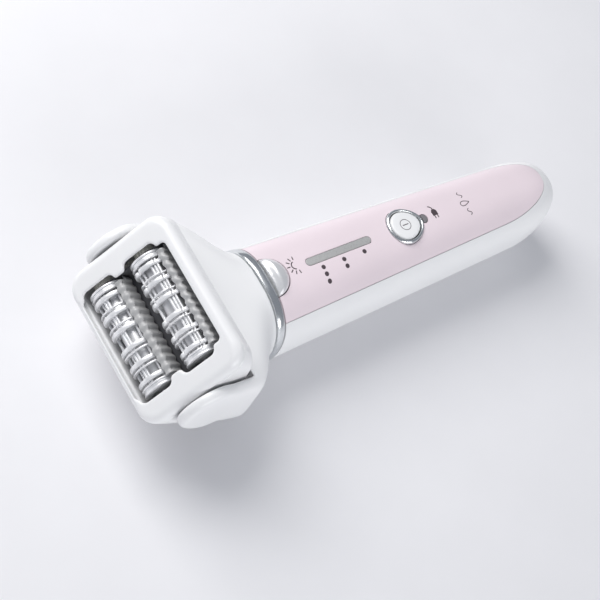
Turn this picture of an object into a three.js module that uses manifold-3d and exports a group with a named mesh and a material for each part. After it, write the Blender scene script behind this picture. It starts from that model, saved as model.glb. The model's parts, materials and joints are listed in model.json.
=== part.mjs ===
// Cordless epilator: a handle, a yoke that plugs into it, and a swivelling head with two tweezer drums.
//
// Millimetres, +Z up. The epilator lies on the flat strip along the back of its handle, with the tail
// towards +X and the head towards -X. Pieces are drawn in the handle frame, whose origin is the middle
// of the chrome ring's head-side face. The outermost group then moves them so that the origin of the
// model is the bottom centre of the whole.
import * as THREE from 'three';
import { mergeVertices } from 'three/addons/utils/BufferGeometryUtils.js';
import Module from 'manifold-3d';

const wasm = await Module();
wasm.setup();

// ---------------------------------------------------------------- driving dimensions

const GAP = 0.3; // kept between pieces that touch
const OVERSHOOT = 60; // length of a cutter that passes right through

// Handle: its cross-section is a superellipse that narrows towards the tail
const FRONT_HALF_WIDTH = 19;
const WIDTH_TAPER = 0.037; // half-width lost per millimetre of length
const TOP_HEIGHT = 20.2;
const BOTTOM_DEPTH = 16.6;
const BACK_FLAT = -16; // the flat strip that the handle lies on
const SQUARENESS = 2.4;
const TAIL_START = 116.8; // where the tail begins to round off
const TAIL_END = 140.3;
const WALL = 2.5;

// Chrome ring and the pink front panel
const RING_LENGTH = 3.2;
const RING_PROUD = 0.25;
const SHELL_FRONT = RING_LENGTH + GAP;
const PANEL_THICKNESS = 1.5;
const PANEL_FRONT_HALF_WIDTH = 15.05;
const PANEL_TAPER = 0.034;
const PANEL_ROUND_START = 105.5;
const PANEL_END = 129;
const LEDGE = 1.6; // how far the shell reaches in under the panel's edge

// Controls and windows on the front panel
const LENS_RADIUS = 7.1;
const LENS_HEIGHT = 3;
const WINDOW_START = 18.6;
const WINDOW_END = 46.2;
const WINDOW_WIDTH = 2.65;
const BUTTON_X = 61.7;
const BEZEL_RADIUS = 6.9;
const BEZEL_RIM = 0.9;
const BUTTON_PROUD = 1;
const BUTTON_STEM_RADIUS = 2;
const LAMP_RADIUS = 1.7;
const LAMP_X = BUTTON_X + BEZEL_RADIUS * 1.14 + 0.75;

// Release button on the back of the handle
const RELEASE_X = 13.2;
const RELEASE_LENGTH = 7.6;
const RELEASE_WIDTH = 8;
const RELEASE_FLANGE = 0.9;

// Yoke and swivel pivot, in the handle frame
const PIVOT_X = -33;
const PIVOT_Z = 12;
const ARM_X = -35.3; // middle of each arm's round end
const ARM_Z = 13.5;
const ARM_RADIUS = 11.9;
const ARM_LOWER_REACH = 14.5;
const ARM_INNER_Y = 28.9;
const ARM_OUTER_Y = 33;
const BAY_RADIUS = 15.2;
const BAY_END = PIVOT_X + 12.2; // inner wall of the bay that the head swivels in
const NECK_HOLLOW = -12.5; // how far the hollow behind the ring reaches
const SPIGOT_INSET = 3;
const SPIGOT_WALL = 1.4;
const SPIGOT_DEPTH = 7;
const PIN_RADIUS = 2;
const PIN_END = 31.4;
const PIN_START = 23.4;
const REST_TILT = THREE.MathUtils.degToRad(40); // head face turned up from the handle's axis

// Head, in its own frame: origin on the pivot, X across the face, Y along the drums, Z out of the face
const FACE_Z = 14;
const FACE_FRONT = -18.5;
const FACE_REAR = 22.8;
const HEAD_HALF_WIDTH = 28.2;
const HEAD_CORNER = 7;
const OPENING_FRONT = -16.2;
const OPENING_REAR = 18.4;
const OPENING_HALF_WIDTH = 18.2;
const BASE_TOP = 10.2;
const BASE_WALL = 1.8;
const BASE_BACK_RADIUS = 12.4;
const CRADLE_Y = 19.4;
const CRADLE_PLATE = 0.6;
const CRADLE_FLOOR = -0.4;
const TUNNEL_RADIUS = 4.7; // arch in the cradle floor, over the gears on the pivot
const COMB_BOTTOM = 5.6;

// Tweezer drums
const DRUM_CENTRES = { front: -8.6, rear: 8.6 };
const DRUM_Z = 7.8;
const DRUM_RADIUS = 6.6;
const DRUM_HALF_LENGTH = 18.8;
const DRUM_CORE_RADIUS = 3.1;
const DRUM_AXLE_RADIUS = 0.9;
const STATIONS = [3.2, 9, 14.9]; // distance of each tweezer ring pair from the middle
const RING_WIDTH = 1.6;
const BLADE_WIDTH = 0.5;
const BLADE_OPENING = 0.8; // between a fixed ring and its blade at rest
const BLADE_BAR_RADIUS = 0.45;
const BLADE_BAR_CIRCLE = 4.5;
const BLADE_BARS = 3;
const RING_SIDES = 14;

// Gears: module in millimetres and tooth counts
const DRIVE_MODULE = 0.5;
const HEAD_MODULE = 0.4;
const MOTOR_TEETH = 10;
const REDUCTION_TEETH = 17;
const OUTPUT_TEETH = 20;
const PINION_TEETH = 8;
const CROWN_TEETH = 12;
const TRANSFER_TEETH = 40;
const DRUM_TEETH = 16;
const SWIVEL_CLEARANCE = 0.25; // between the transfer gear and the drum gears that swivel round it
const GEAR_Y = 20.4;
const GEAR_WIDTH = 1.9;

// Drive train and power pack inside the handle
const DRIVE_Z = PIVOT_Z; // the output shaft points at the pivot
const REDUCTION_Z = DRIVE_Z - (DRIVE_MODULE * (OUTPUT_TEETH + REDUCTION_TEETH)) / 2;
const MOTOR_Z = REDUCTION_Z - (DRIVE_MODULE * (REDUCTION_TEETH + MOTOR_TEETH)) / 2;
const BULKHEAD_X = 9;
const GEAR_STAGE_X = 12.6;
const BRACKET_X = 16.4;
const MOTOR_X = 18.1;
const MOTOR_LENGTH = 30;
const MOTOR_RADIUS = 9;
const SCREW_Y = 5.2; // motor screws, either side of the shaft
const BATTERY_X = 54;
const BATTERY_LENGTH = 50;
const BATTERY_RADIUS = 7.2;
const CHASSIS_Z = 9.6;
const CHASSIS_END = 112;
const BOARD_X = 19.4;
const BOARD_Z = 11.4;
const BOARD_TOP = 12.6;
const SOCKET_Z = 2;

// ---------------------------------------------------------------- materials

function finish(color, roughness, metalness) {
  return new THREE.MeshStandardMaterial({ color, roughness, metalness });
}

const plastic = (color, roughness) => finish(color, roughness, 0);
const metal = (color, roughness) => finish(color, roughness, 1);

const white = plastic(0xf1f1f3, 0.35);
const pink = plastic(0xe3cfd8, 0.45);
const combGrey = plastic(0xa3a5a6, 0.4);
const darkGrey = plastic(0x55575b, 0.6);
const windowGrey = plastic(0xaeb3b1, 0.3);
const frosted = plastic(0xd9dadc, 0.25);
const smoked = plastic(0x6f6a70, 0.15);
const gearWhite = plastic(0xdedcd2, 0.5);
const boardGreen = plastic(0x2f6b45, 0.5);
const cellBlue = plastic(0x3c5f9a, 0.4);
const rubber = plastic(0x2b2b2d, 0.9);
const chrome = metal(0xd9dadd, 0.1);
const steel = metal(0xc9cbcf, 0.25);
const brass = metal(0xc8a766, 0.35);

// ---------------------------------------------------------------- solids

// Turns a closed geometry into a solid that can be joined and cut
function solid(geometry) {
  const bare = geometry.clone();
  bare.deleteAttribute('normal');
  bare.deleteAttribute('uv');
  const merged = mergeVertices(bare, 1e-4);
  const mesh = new wasm.Mesh({
    numProp: 3,
    vertProperties: new Float32Array(merged.attributes.position.array),
    triVerts: new Uint32Array(merged.index.array),
  });
  mesh.merge();
  return new wasm.Manifold(mesh);
}

function geometryOf(body) {
  const mesh = body.getMesh();
  const geometry = new THREE.BufferGeometry();
  geometry.setAttribute('position', new THREE.BufferAttribute(new Float32Array(mesh.vertProperties), 3));
  geometry.setIndex(new THREE.BufferAttribute(new Uint32Array(mesh.triVerts), 1));
  geometry.computeVertexNormals();
  return geometry;
}

// Turns a geometry built along Z so that it points along X or Y, right-handed about the new axis
function aim(geometry, axis) {
  if (axis === 'x') geometry.rotateY(Math.PI / 2);
  if (axis === 'y') geometry.rotateX(-Math.PI / 2);
  return geometry;
}

// A round bar from `start` to `end` along an axis; `at` holds its other two coordinates
function bar(axis, radius, start, end, at = {}, sides = 20) {
  const geometry = new THREE.CylinderGeometry(radius, radius, end - start, sides);
  geometry.rotateX(Math.PI / 2);
  aim(geometry, axis);
  const place = { x: 0, y: 0, z: 0, ...at };
  place[axis] = (start + end) / 2;
  geometry.translate(place.x, place.y, place.z);
  return solid(geometry);
}

function box(low, high) {
  const size = high.map((value, i) => value - low[i]);
  const geometry = new THREE.BoxGeometry(...size);
  geometry.translate(...low.map((value, i) => value + size[i] / 2));
  return solid(geometry);
}

// Extrudes an outline of [a, b] points along an axis, from `start` to `end`
function prism(axis, outline, start, end, bevel = 0) {
  const shape = new THREE.Shape(outline.map(([a, b]) => new THREE.Vector2(a, b)));
  const geometry = new THREE.ExtrudeGeometry(shape, {
    depth: end - start - 2 * bevel,
    bevelEnabled: bevel > 0,
    bevelSize: bevel,
    bevelOffset: -bevel,
    bevelThickness: bevel,
    bevelSegments: 2,
  });
  geometry.translate(0, 0, start + bevel);
  return solid(aim(geometry, axis));
}

// A side outline of [x, z] points, extruded along Y from -halfWidth to halfWidth
function sideProfile(outline, halfWidth) {
  return prism('y', outline.map(([x, z]) => [x, -z]), -halfWidth, halfWidth);
}

function roundedRectangle(left, right, bottom, top, radius, steps = 5) {
  const corners = [
    [right - radius, top - radius, 0],
    [left + radius, top - radius, Math.PI / 2],
    [left + radius, bottom + radius, Math.PI],
    [right - radius, bottom + radius, Math.PI * 1.5],
  ];
  const points = [];
  for (const [x, y, turn] of corners) {
    for (let i = 0; i <= steps; i += 1) {
      const angle = turn + (Math.PI / 2) * (i / steps);
      points.push([x + radius * Math.cos(angle), y + radius * Math.sin(angle)]);
    }
  }
  return points;
}

// ---------------------------------------------------------------- gears

// Outline of a spur gear with straight-sided teeth; a tooth points at `phase`
function gearOutline(teeth, module, phase, tipRadius) {
  const pitch = (module * teeth) / 2;
  const tip = tipRadius ?? pitch + 0.85 * module;
  const root = pitch - 1.2 * module;
  const step = (2 * Math.PI) / teeth;
  const points = [];
  for (let i = 0; i < teeth; i += 1) {
    const angle = phase + i * step;
    points.push([root, angle - 0.26 * step], [tip, angle - 0.1 * step]);
    points.push([tip, angle + 0.1 * step], [root, angle + 0.26 * step]);
  }
  return points.map(([radius, angle]) => [radius * Math.cos(angle), radius * Math.sin(angle)]);
}

function spurGear(axis, { teeth, module, phase = 0, tip, start, end, at = [0, 0, 0] }) {
  return prism(axis, gearOutline(teeth, module, phase, tip), start, end).translate(at);
}

// The phase of the gear in the direction `angle` that meshes with one whose tooth points at `phase`
function meshingPhase(angle, phase, teeth, otherTeeth) {
  return angle + Math.PI + Math.PI / otherTeeth - ((phase - angle) * teeth) / otherTeeth;
}

// ---------------------------------------------------------------- lofted bodies

// A closed body whose cross-section in the YZ plane changes along X. `section(x, angle)` gives the
// section's [y, z] at that angle; the stations run towards +X.
function loft(stations, section, sides = 40) {
  const steps = stations.length - 1;
  const geometry = new THREE.CylinderGeometry(1, 1, 1, sides, steps);
  geometry.rotateZ(-Math.PI / 2);
  const position = geometry.attributes.position;
  for (let i = 0; i < position.count; i += 1) {
    const x = stations[Math.round((position.getX(i) + 0.5) * steps)];
    const y = position.getY(i);
    const z = position.getZ(i);
    const onAxis = Math.hypot(y, z) < 0.5;
    const [sectionY, sectionZ] = onAxis ? sectionMiddle(section, x) : section(x, Math.atan2(z, y));
    position.setXYZ(i, x, sectionY, sectionZ);
  }
  return solid(geometry);
}

function sectionMiddle(section, x) {
  const [, top] = section(x, Math.PI / 2);
  const [, bottom] = section(x, -Math.PI / 2);
  return [0, (top + bottom) / 2];
}

function superellipse(angle, halfWidth, halfHeight, power) {
  const ease = (t) => (Math.abs(t) < 1e-5 ? 0 : Math.sign(t) * Math.abs(t) ** (2 / power));
  return [halfWidth * ease(Math.cos(angle)), halfHeight * ease(Math.sin(angle))];
}

// The handle's outer surface, drawn in by `inset`
function handleSection(inset) {
  const end = TAIL_END - inset;
  return (x, angle) => {
    const tail = Math.max(0, (x - TAIL_START) / (end - TAIL_START));
    const widthFactor = (1 - tail ** 2.4) ** (1 / 2.2);
    const heightFactor = (1 - tail ** 3) ** (1 / 2.2);
    const halfWidth = (FRONT_HALF_WIDTH - WIDTH_TAPER * x - inset) * widthFactor;
    const height = (angle > 0 ? TOP_HEIGHT : BOTTOM_DEPTH) - inset;
    const [y, z] = superellipse(angle, halfWidth, height * heightFactor, SQUARENESS);
    return [y, Math.max(z, BACK_FLAT + Math.max(inset, 0))];
  };
}

function handleBody(inset, start, { end, sides = 32 } = {}) {
  const tail = [0, 0.35, 0.6, 0.78, 0.9, 0.97, 0.995];
  const length = TAIL_END - inset - TAIL_START;
  const stations = end === undefined ? [start, ...tail.map((u) => TAIL_START + u * length)] : [start, end];
  return loft(stations, handleSection(inset), sides);
}

// ---------------------------------------------------------------- handle casing

// Plan outline of the front panel, grown by `growth`
function panelOutline(growth, start = SHELL_FRONT) {
  const steps = 8;
  const side = [[start, PANEL_FRONT_HALF_WIDTH - PANEL_TAPER * start + growth]];
  for (let i = 0; i <= steps; i += 1) {
    const u = Math.sin((i / steps) * (Math.PI / 2));
    const x = PANEL_ROUND_START + u * (PANEL_END + growth - PANEL_ROUND_START);
    const factor = (1 - u ** 2.4) ** (1 / 2.2);
    side.push([x, (PANEL_FRONT_HALF_WIDTH - PANEL_TAPER * x + growth) * factor]);
  }
  const mirrored = side.slice(0, -1).reverse().map(([x, y]) => [x, -y]);
  return [...side, ...mirrored].reverse();
}

function eggOutline(radius, steps = 24) {
  const points = [];
  for (let i = 0; i < steps; i += 1) {
    const angle = (2 * Math.PI * i) / steps;
    const c = Math.cos(angle);
    const stretch = c > 0 ? 1 + 0.14 * c : 1;
    points.push([BUTTON_X + radius * c * stretch, radius * Math.sin(angle) * (1 - 0.06 * c)]);
  }
  return points;
}

function releasePad(growth) {
  const halfLength = RELEASE_LENGTH / 2 + growth;
  const halfWidth = RELEASE_WIDTH / 2 + growth;
  return roundedRectangle(RELEASE_X - halfLength, RELEASE_X + halfLength, -halfWidth, halfWidth, 2, 3);
}

function rearShell() {
  const recess = prism('z', panelOutline(GAP / 2, 0), 5, OVERSHOOT)
    .subtract(handleBody(PANEL_THICKNESS + GAP, -1));
  const opening = prism('z', panelOutline(-LEDGE, 0), 5, OVERSHOOT);
  const socketMouth = box([TAIL_START, -4.6, SOCKET_Z - 2.8], [TAIL_END + 1, 4.6, SOCKET_Z + 2.8]);
  return handleBody(0, SHELL_FRONT)
    .subtract(handleBody(WALL, -1))
    .subtract(recess)
    .subtract(opening)
    .subtract(socketMouth)
    .subtract(prism('z', releasePad(GAP), -OVERSHOOT, -10));
}

function frontPanel() {
  const windowHole = roundedRectangle(
    WINDOW_START - GAP / 2, WINDOW_END + GAP / 2,
    -(WINDOW_WIDTH + GAP) / 2, (WINDOW_WIDTH + GAP) / 2, (WINDOW_WIDTH + GAP) / 2 - 0.01, 4,
  );
  return prism('z', panelOutline(-GAP / 2, SHELL_FRONT), 8, OVERSHOOT)
    .intersect(handleBody(0, SHELL_FRONT))
    .subtract(handleBody(PANEL_THICKNESS, 0))
    .subtract(bar('z', LENS_RADIUS + GAP, 10, OVERSHOOT, { x: SHELL_FRONT }, 36))
    .subtract(prism('z', windowHole, 10, OVERSHOOT))
    .subtract(prism('z', eggOutline(BEZEL_RADIUS + GAP / 2), 10, OVERSHOOT))
    .subtract(bar('z', LAMP_RADIUS + GAP / 2, 10, OVERSHOOT, { x: LAMP_X }, 16));
}

function neckRing() {
  return handleBody(-RING_PROUD, 0, { end: RING_LENGTH })
    .subtract(handleBody(WALL, -1, { end: RING_LENGTH + 1 }));
}

function lightLens() {
  const dome = new THREE.SphereGeometry(LENS_RADIUS, 24, 14);
  dome.scale(1, 1, LENS_HEIGHT / LENS_RADIUS);
  dome.translate(SHELL_FRONT, 0, TOP_HEIGHT - 0.9);
  return solid(dome).intersect(box([SHELL_FRONT, -20, TOP_HEIGHT - 2.6], [40, 20, 40]));
}

function speedWindow() {
  const half = WINDOW_WIDTH / 2;
  const outline = roundedRectangle(WINDOW_START, WINDOW_END, -half, half, half - 0.01, 4);
  return prism('z', outline, TOP_HEIGHT - 2.2, TOP_HEIGHT + 0.15);
}

function buttonBezel() {
  return prism('z', eggOutline(BEZEL_RADIUS), TOP_HEIGHT - 2, TOP_HEIGHT + 0.6, 0.25)
    .subtract(prism('z', eggOutline(BEZEL_RADIUS - BEZEL_RIM), 0, OVERSHOOT));
}

function powerButton() {
  const cap = prism('z', eggOutline(BEZEL_RADIUS - BEZEL_RIM - GAP), TOP_HEIGHT - 1.4,
    TOP_HEIGHT + BUTTON_PROUD, 0.4);
  return cap.add(bar('z', BUTTON_STEM_RADIUS, TOP_HEIGHT - 3.2, TOP_HEIGHT - 1, { x: BUTTON_X }));
}

function chargeLampLens() {
  const clear = prism('z', eggOutline(BEZEL_RADIUS + GAP), 0, OVERSHOOT);
  return bar('z', LAMP_RADIUS, TOP_HEIGHT - 2, TOP_HEIGHT + 0.25, { x: LAMP_X }, 16).subtract(clear);
}

function releaseButton() {
  const flangeBottom = BACK_FLAT + WALL + GAP;
  return prism('z', releasePad(0), BACK_FLAT + GAP, flangeBottom + 0.4)
    .add(prism('z', releasePad(RELEASE_FLANGE), flangeBottom, flangeBottom + 0.8))
    .add(bar('z', 1.4, flangeBottom, flangeBottom + 2.4, { x: RELEASE_X }, 14));
}

// ---------------------------------------------------------------- inside the handle

// Wall behind the spigot recess, with the hole that the output shaft turns in and a foot that the
// release spring bears on
function neckBulkhead() {
  return handleBody(WALL + GAP, BULKHEAD_X, { end: BULKHEAD_X + 1.6 })
    .subtract(box([0, 4.8, 12.6], [20, 40, 40]))
    .subtract(box([0, -40, 12.6], [20, -4.8, 40]))
    .subtract(box([0, -40, -40], [20, 40, -10.5]))
    .add(bar('x', 4.4, BULKHEAD_X - 1, BULKHEAD_X + 1.6, { z: DRIVE_Z }, 24))
    .add(box([BULKHEAD_X, -4, -9.4], [BULKHEAD_X + 6.5, 4, -8.4]))
    .subtract(bar('x', 3.2, 0, 20, { z: DRIVE_Z }, 20));
}

function shaftSeal() {
  return bar('x', 2.9, BULKHEAD_X - 0.9, BULKHEAD_X + 1.4, { z: DRIVE_Z }, 20)
    .subtract(bar('x', 1.9, 0, 20, { z: DRIVE_Z }, 18));
}

// Tray between the motor and the board, with a bracket that the motor and gears are mounted on
function chassis() {
  const batteryEnd = BATTERY_X + BATTERY_LENGTH;
  let body = box([BRACKET_X, -9.5, CHASSIS_Z], [CHASSIS_END, 9.5, CHASSIS_Z + 1])
    .add(box([BRACKET_X, -7, MOTOR_Z - 7], [BRACKET_X + 1.4, 7, DRIVE_Z + 3.2]))
    .add(box([batteryEnd + 3, -7, -8], [batteryEnd + 4.4, 7, CHASSIS_Z + 0.5]))
    .subtract(bar('x', 2.6, 0, 30, { z: MOTOR_Z }, 18));
  for (const z of [DRIVE_Z, REDUCTION_Z]) body = body.subtract(bar('x', 1.4, 0, 30, { z }, 14));
  for (const y of [-SCREW_Y, SCREW_Y]) body = body.subtract(bar('x', 1.05, 0, 30, { y, z: MOTOR_Z }, 12));
  return body;
}

function driveMotor() {
  const can = bar('x', MOTOR_RADIUS, MOTOR_X, MOTOR_X + MOTOR_LENGTH, { z: MOTOR_Z }, 32);
  const nose = bar('x', 2.2, MOTOR_X - 1.4, MOTOR_X + 1, { z: MOTOR_Z }, 20);
  const canEnd = MOTOR_X + MOTOR_LENGTH;
  let body = can.add(nose)
    .add(bar('x', 2.4, canEnd - 1, canEnd + 1.8, { z: MOTOR_Z }, 20))
    .subtract(bar('x', 1.1, 0, MOTOR_X + 6, { z: MOTOR_Z }, 16));
  for (const side of [-1, 1]) {
    body = body.subtract(bar('x', 1.05, 0, MOTOR_X + 3.2, { y: side * SCREW_Y, z: MOTOR_Z }, 14));
  }
  return body;
}

function motorScrew(side) {
  const at = { y: side * SCREW_Y, z: MOTOR_Z };
  return bar('x', 1.5, BRACKET_X - 1.1, BRACKET_X - GAP, at, 16)
    .add(bar('x', 0.75, BRACKET_X - 0.6, MOTOR_X + 2.8, at, 12));
}

// Gears in one plane behind the bulkhead; each tooth that points up meets a gap in the gear above
function driveGear(teeth, phase, z, extra = 0) {
  const start = GEAR_STAGE_X - extra;
  const end = GEAR_STAGE_X + 2.8 + extra;
  return spurGear('x', { teeth, module: DRIVE_MODULE, phase, start, end, at: [0, 0, z] });
}

const UP = Math.PI; // direction of +Z on a gear that turns about X
const REDUCTION_PHASE = meshingPhase(UP, UP, MOTOR_TEETH, REDUCTION_TEETH);
const OUTPUT_PHASE = meshingPhase(UP, REDUCTION_PHASE, REDUCTION_TEETH, OUTPUT_TEETH);

function motorPinion() {
  return driveGear(MOTOR_TEETH, UP, MOTOR_Z, 0.2)
    .add(bar('x', 0.8, GEAR_STAGE_X, MOTOR_X + 5.5, { z: MOTOR_Z }, 14));
}

function reductionGear() {
  return driveGear(REDUCTION_TEETH, REDUCTION_PHASE, REDUCTION_Z)
    .subtract(bar('x', 1.1 + GAP, 0, 40, { z: REDUCTION_Z }, 14));
}

function reductionAxle() {
  return bar('x', 1.1, GEAR_STAGE_X - 0.6, BRACKET_X + 1.2, { z: REDUCTION_Z }, 12);
}

// Output gear, its shaft and the slotted dog that drives the head
function outputGear() {
  const dog = bar('x', 2.5, 2.4, 6.8, { z: DRIVE_Z }, 20)
    .subtract(box([0, -0.9, DRIVE_Z - 6], [4.9, 0.9, DRIVE_Z + 6]));
  return driveGear(OUTPUT_TEETH, OUTPUT_PHASE, DRIVE_Z)
    .add(bar('x', 1.6, 6, GEAR_STAGE_X + 1, { z: DRIVE_Z }, 16))
    .add(bar('x', 1.1, GEAR_STAGE_X, MOTOR_X - GAP, { z: DRIVE_Z }, 12))
    .add(dog);
}

function batteryCell() {
  const end = BATTERY_X + BATTERY_LENGTH;
  return bar('x', BATTERY_RADIUS, BATTERY_X, end - 1, { z: MOTOR_Z + 1 }, 28)
    .add(bar('x', 2.5, end - 2, end, { z: MOTOR_Z + 1 }, 16));
}

function batteryContact(x, thickness) {
  return box([x, -3, MOTOR_Z - 4], [x + thickness, 3, MOTOR_Z + 9.5]);
}

function circuitBoard() {
  return box([BOARD_X, -8, BOARD_Z], [BOARD_X + 83, 8, BOARD_TOP]);
}

function buttonSwitch() {
  const floor = BOARD_TOP + 0.05;
  return box([BUTTON_X - 3, -3, floor], [BUTTON_X + 3, 3, floor + 2.4])
    .add(bar('z', 1.6, floor + 2, TOP_HEIGHT - 4.1, { x: BUTTON_X }, 16));
}

function led(x, y, floor) {
  return bar('z', 1.5, floor, floor + 1.8, { x, y }, 12)
    .add(bar('z', 1.1, floor + 1, floor + 2.8, { x, y }, 12));
}

function socketHousing() {
  return box([127.4, -5.8, SOCKET_Z - 4], [133.8, 5.8, SOCKET_Z + 4])
    .subtract(box([129, -4.6, SOCKET_Z - 2.8], [140, 4.6, SOCKET_Z + 2.8]))
    .subtract(bar('x', 1.1, 120, 131, { y: -2.2, z: SOCKET_Z }, 14))
    .subtract(bar('x', 1.1, 120, 131, { y: 2.2, z: SOCKET_Z }, 14));
}

function socketPin(side) {
  return bar('x', 0.8, 125.4, 131.6, { y: side * 2.2, z: SOCKET_Z }, 12);
}

class Helix extends THREE.Curve {
  constructor(radius, turns, height) {
    super();
    this.radius = radius;
    this.turns = turns;
    this.height = height;
  }

  getPoint(t, target = new THREE.Vector3()) {
    const angle = 2 * Math.PI * this.turns * t;
    return target.set(this.radius * Math.cos(angle), this.radius * Math.sin(angle), this.height * t);
  }
}

function releaseSpring() {
  const wire = new THREE.Shape();
  wire.absarc(0, 0, 0.22, 0, 2 * Math.PI);
  const bottom = BACK_FLAT + WALL + GAP + 0.8 + 0.3;
  const path = new Helix(2.2, 2.5, -10.1 - bottom);
  const geometry = new THREE.ExtrudeGeometry(wire, { steps: 30, extrudePath: path, curveSegments: 3 });
  geometry.translate(RELEASE_X, 0, bottom);
  return solid(geometry);
}

// ---------------------------------------------------------------- yoke

const smooth = (t) => t * t * (3 - 2 * t);
const clamp01 = (t) => Math.min(1, Math.max(0, t));

// The yoke's outer surface: the handle's section at the ring, spreading into two round-ended arms
function yokeSection(x, angle) {
  const along = clamp01(x / ARM_X);
  const flare = smooth(clamp01(-x / 19.5));
  const halfWidth = FRONT_HALF_WIDTH + (ARM_OUTER_Y - FRONT_HALF_WIDTH) * flare;
  const middle = ARM_Z * smooth(along);
  const beyond = Math.min(0, x - ARM_X) / ARM_RADIUS;
  const roundEnd = Math.sqrt(Math.max(0.002, 1 - beyond ** 2));
  const toArm = smooth(along ** 0.85);
  const top = TOP_HEIGHT * (1 - toArm) + (ARM_Z + ARM_RADIUS * roundEnd) * toArm;
  const toArmBelow = along ** 1.6;
  const bottom = BACK_FLAT * (1 - toArmBelow) + (ARM_Z - ARM_LOWER_REACH * roundEnd ** 1.5) * toArmBelow;
  const power = SQUARENESS + (8 - SQUARENESS) * flare;
  const reach = angle > 0 ? top - middle : middle - bottom;
  const [y, z] = superellipse(angle, halfWidth, reach, power);
  return [y, Math.max(middle + z, BACK_FLAT)];
}

function yokeHousing() {
  const stations = [];
  const armEnd = ARM_X - ARM_RADIUS + 0.02;
  for (let i = 0; i <= 9; i += 1) stations.unshift(-GAP + (ARM_X + GAP) * (i / 9));
  for (let i = 1; i <= 6; i += 1) {
    stations.unshift(ARM_X + (armEnd - ARM_X) * Math.sin((i / 6) * (Math.PI / 2)));
  }
  const at = { x: PIVOT_X, z: PIVOT_Z };
  const bay = prism('z', roundedRectangle(-80, BAY_END, -ARM_INNER_Y, ARM_INNER_Y, 1.5), -40, 60);
  let body = loft(stations, yokeSection, 40)
    .subtract(bar('y', BAY_RADIUS, -ARM_INNER_Y, ARM_INNER_Y, at, 36))
    .subtract(bay)
    .add(loft([NECK_HOLLOW + 4, SPIGOT_DEPTH], handleSection(SPIGOT_INSET), 24))
    .subtract(loft([NECK_HOLLOW, SPIGOT_DEPTH + 1], handleSection(SPIGOT_INSET + SPIGOT_WALL), 24))
    .subtract(bar('x', 2.9, -40, 0, { z: DRIVE_Z }, 20));
  for (const [low, high] of [[-PIN_END - GAP, -20], [20, PIN_END + GAP]]) {
    body = body.subtract(bar('y', PIN_RADIUS + GAP, low, high, at, 18));
  }
  return body;
}

function pivotPin(inner, outer) {
  return bar('y', PIN_RADIUS, inner, outer, { x: PIVOT_X, z: PIVOT_Z }, 18);
}

// Driven dog, shaft and the pinion that turns the crown gear
function headDriveShaft() {
  const pinionX = PIVOT_X + (DRIVE_MODULE * CROWN_TEETH) / 2;
  const towardsCrown = Math.PI / 2;
  return spurGear('x', {
    teeth: PINION_TEETH, module: DRIVE_MODULE, phase: towardsCrown, start: pinionX - 0.9, end: pinionX + 0.9,
    at: [0, 0, DRIVE_Z],
  })
    .add(bar('x', 1.4, pinionX, -1, { z: DRIVE_Z }, 16))
    .add(bar('x', 2.5, -3.6, -1.2, { z: DRIVE_Z }, 20))
    .add(box([-3, -0.6, DRIVE_Z - 2.1], [4.4, 0.6, DRIVE_Z + 2.1]));
}

// Crown gear, sleeve and the gear that passes the drive on to both drums
function transferGear() {
  const pinionRadius = (DRIVE_MODULE * PINION_TEETH) / 2;
  const crownRadius = (DRIVE_MODULE * CROWN_TEETH) / 2;
  const root = pinionRadius + 1.2 * DRIVE_MODULE;
  const tip = pinionRadius - 0.7 * DRIVE_MODULE;
  const step = (2 * Math.PI) / CROWN_TEETH;
  const pitch = crownRadius * step;
  const foot = root + 0.2;
  const toothOutline = [[-0.22 * pitch, foot], [0.22 * pitch, foot], [0.08 * pitch, tip], [-0.08 * pitch, tip]];
  let body = bar('y', crownRadius + 0.9, root, root + 1.6, {}, 24)
    .add(bar('y', PIN_RADIUS + GAP + 0.8, foot, GEAR_Y + GEAR_WIDTH, {}, 16));
  for (let i = 0; i < CROWN_TEETH; i += 1) {
    const tooth = prism('x', toothOutline, crownRadius - 0.9, crownRadius + 0.9);
    body = body.add(tooth.rotate([0, THREE.MathUtils.radToDeg((i + 0.5) * step), 0]));
  }
  const reach = Math.hypot(DRUM_CENTRES.rear, DRUM_Z);
  const drumTip = (DRUM_TEETH / 2 + 0.85) * HEAD_MODULE;
  const transferTip = reach - drumTip - SWIVEL_CLEARANCE;
  const transferModule = transferTip / (TRANSFER_TEETH / 2 + 0.85);
  return body
    .add(spurGear('y', {
      teeth: TRANSFER_TEETH, module: transferModule, start: GEAR_Y, end: GEAR_Y + GEAR_WIDTH,
    }))
    .subtract(bar('y', PIN_RADIUS + GAP, 0, 30, {}, 16))
    .translate([PIVOT_X, 0, PIVOT_Z]);
}

// ---------------------------------------------------------------- swivelling head

// Side outline of the head base: a wide mouth on a round back that is centred on the pivot
function baseOutline(inset, top) {
  const radius = BASE_BACK_RADIUS - inset;
  const rise = 0.5 * inset;
  const points = [[FACE_REAR - 0.9 - inset, top], [FACE_FRONT + 0.7 + inset, top]];
  points.push([FACE_FRONT + 1.2 + inset, 4 + rise]);
  const steps = 12;
  for (let i = 0; i <= steps; i += 1) {
    const angle = THREE.MathUtils.degToRad(190 + (150 * i) / steps);
    points.push([radius * Math.cos(angle), radius * Math.sin(angle)]);
  }
  points.push([FACE_REAR - 1.2 - inset, 5 + rise]);
  return points;
}

// Plan outline of the head, drawn in by `inset`
function faceOutline(inset) {
  const half = HEAD_HALF_WIDTH - inset;
  return roundedRectangle(FACE_FRONT + inset, FACE_REAR - inset, -half, half, HEAD_CORNER - inset, 6);
}

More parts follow.
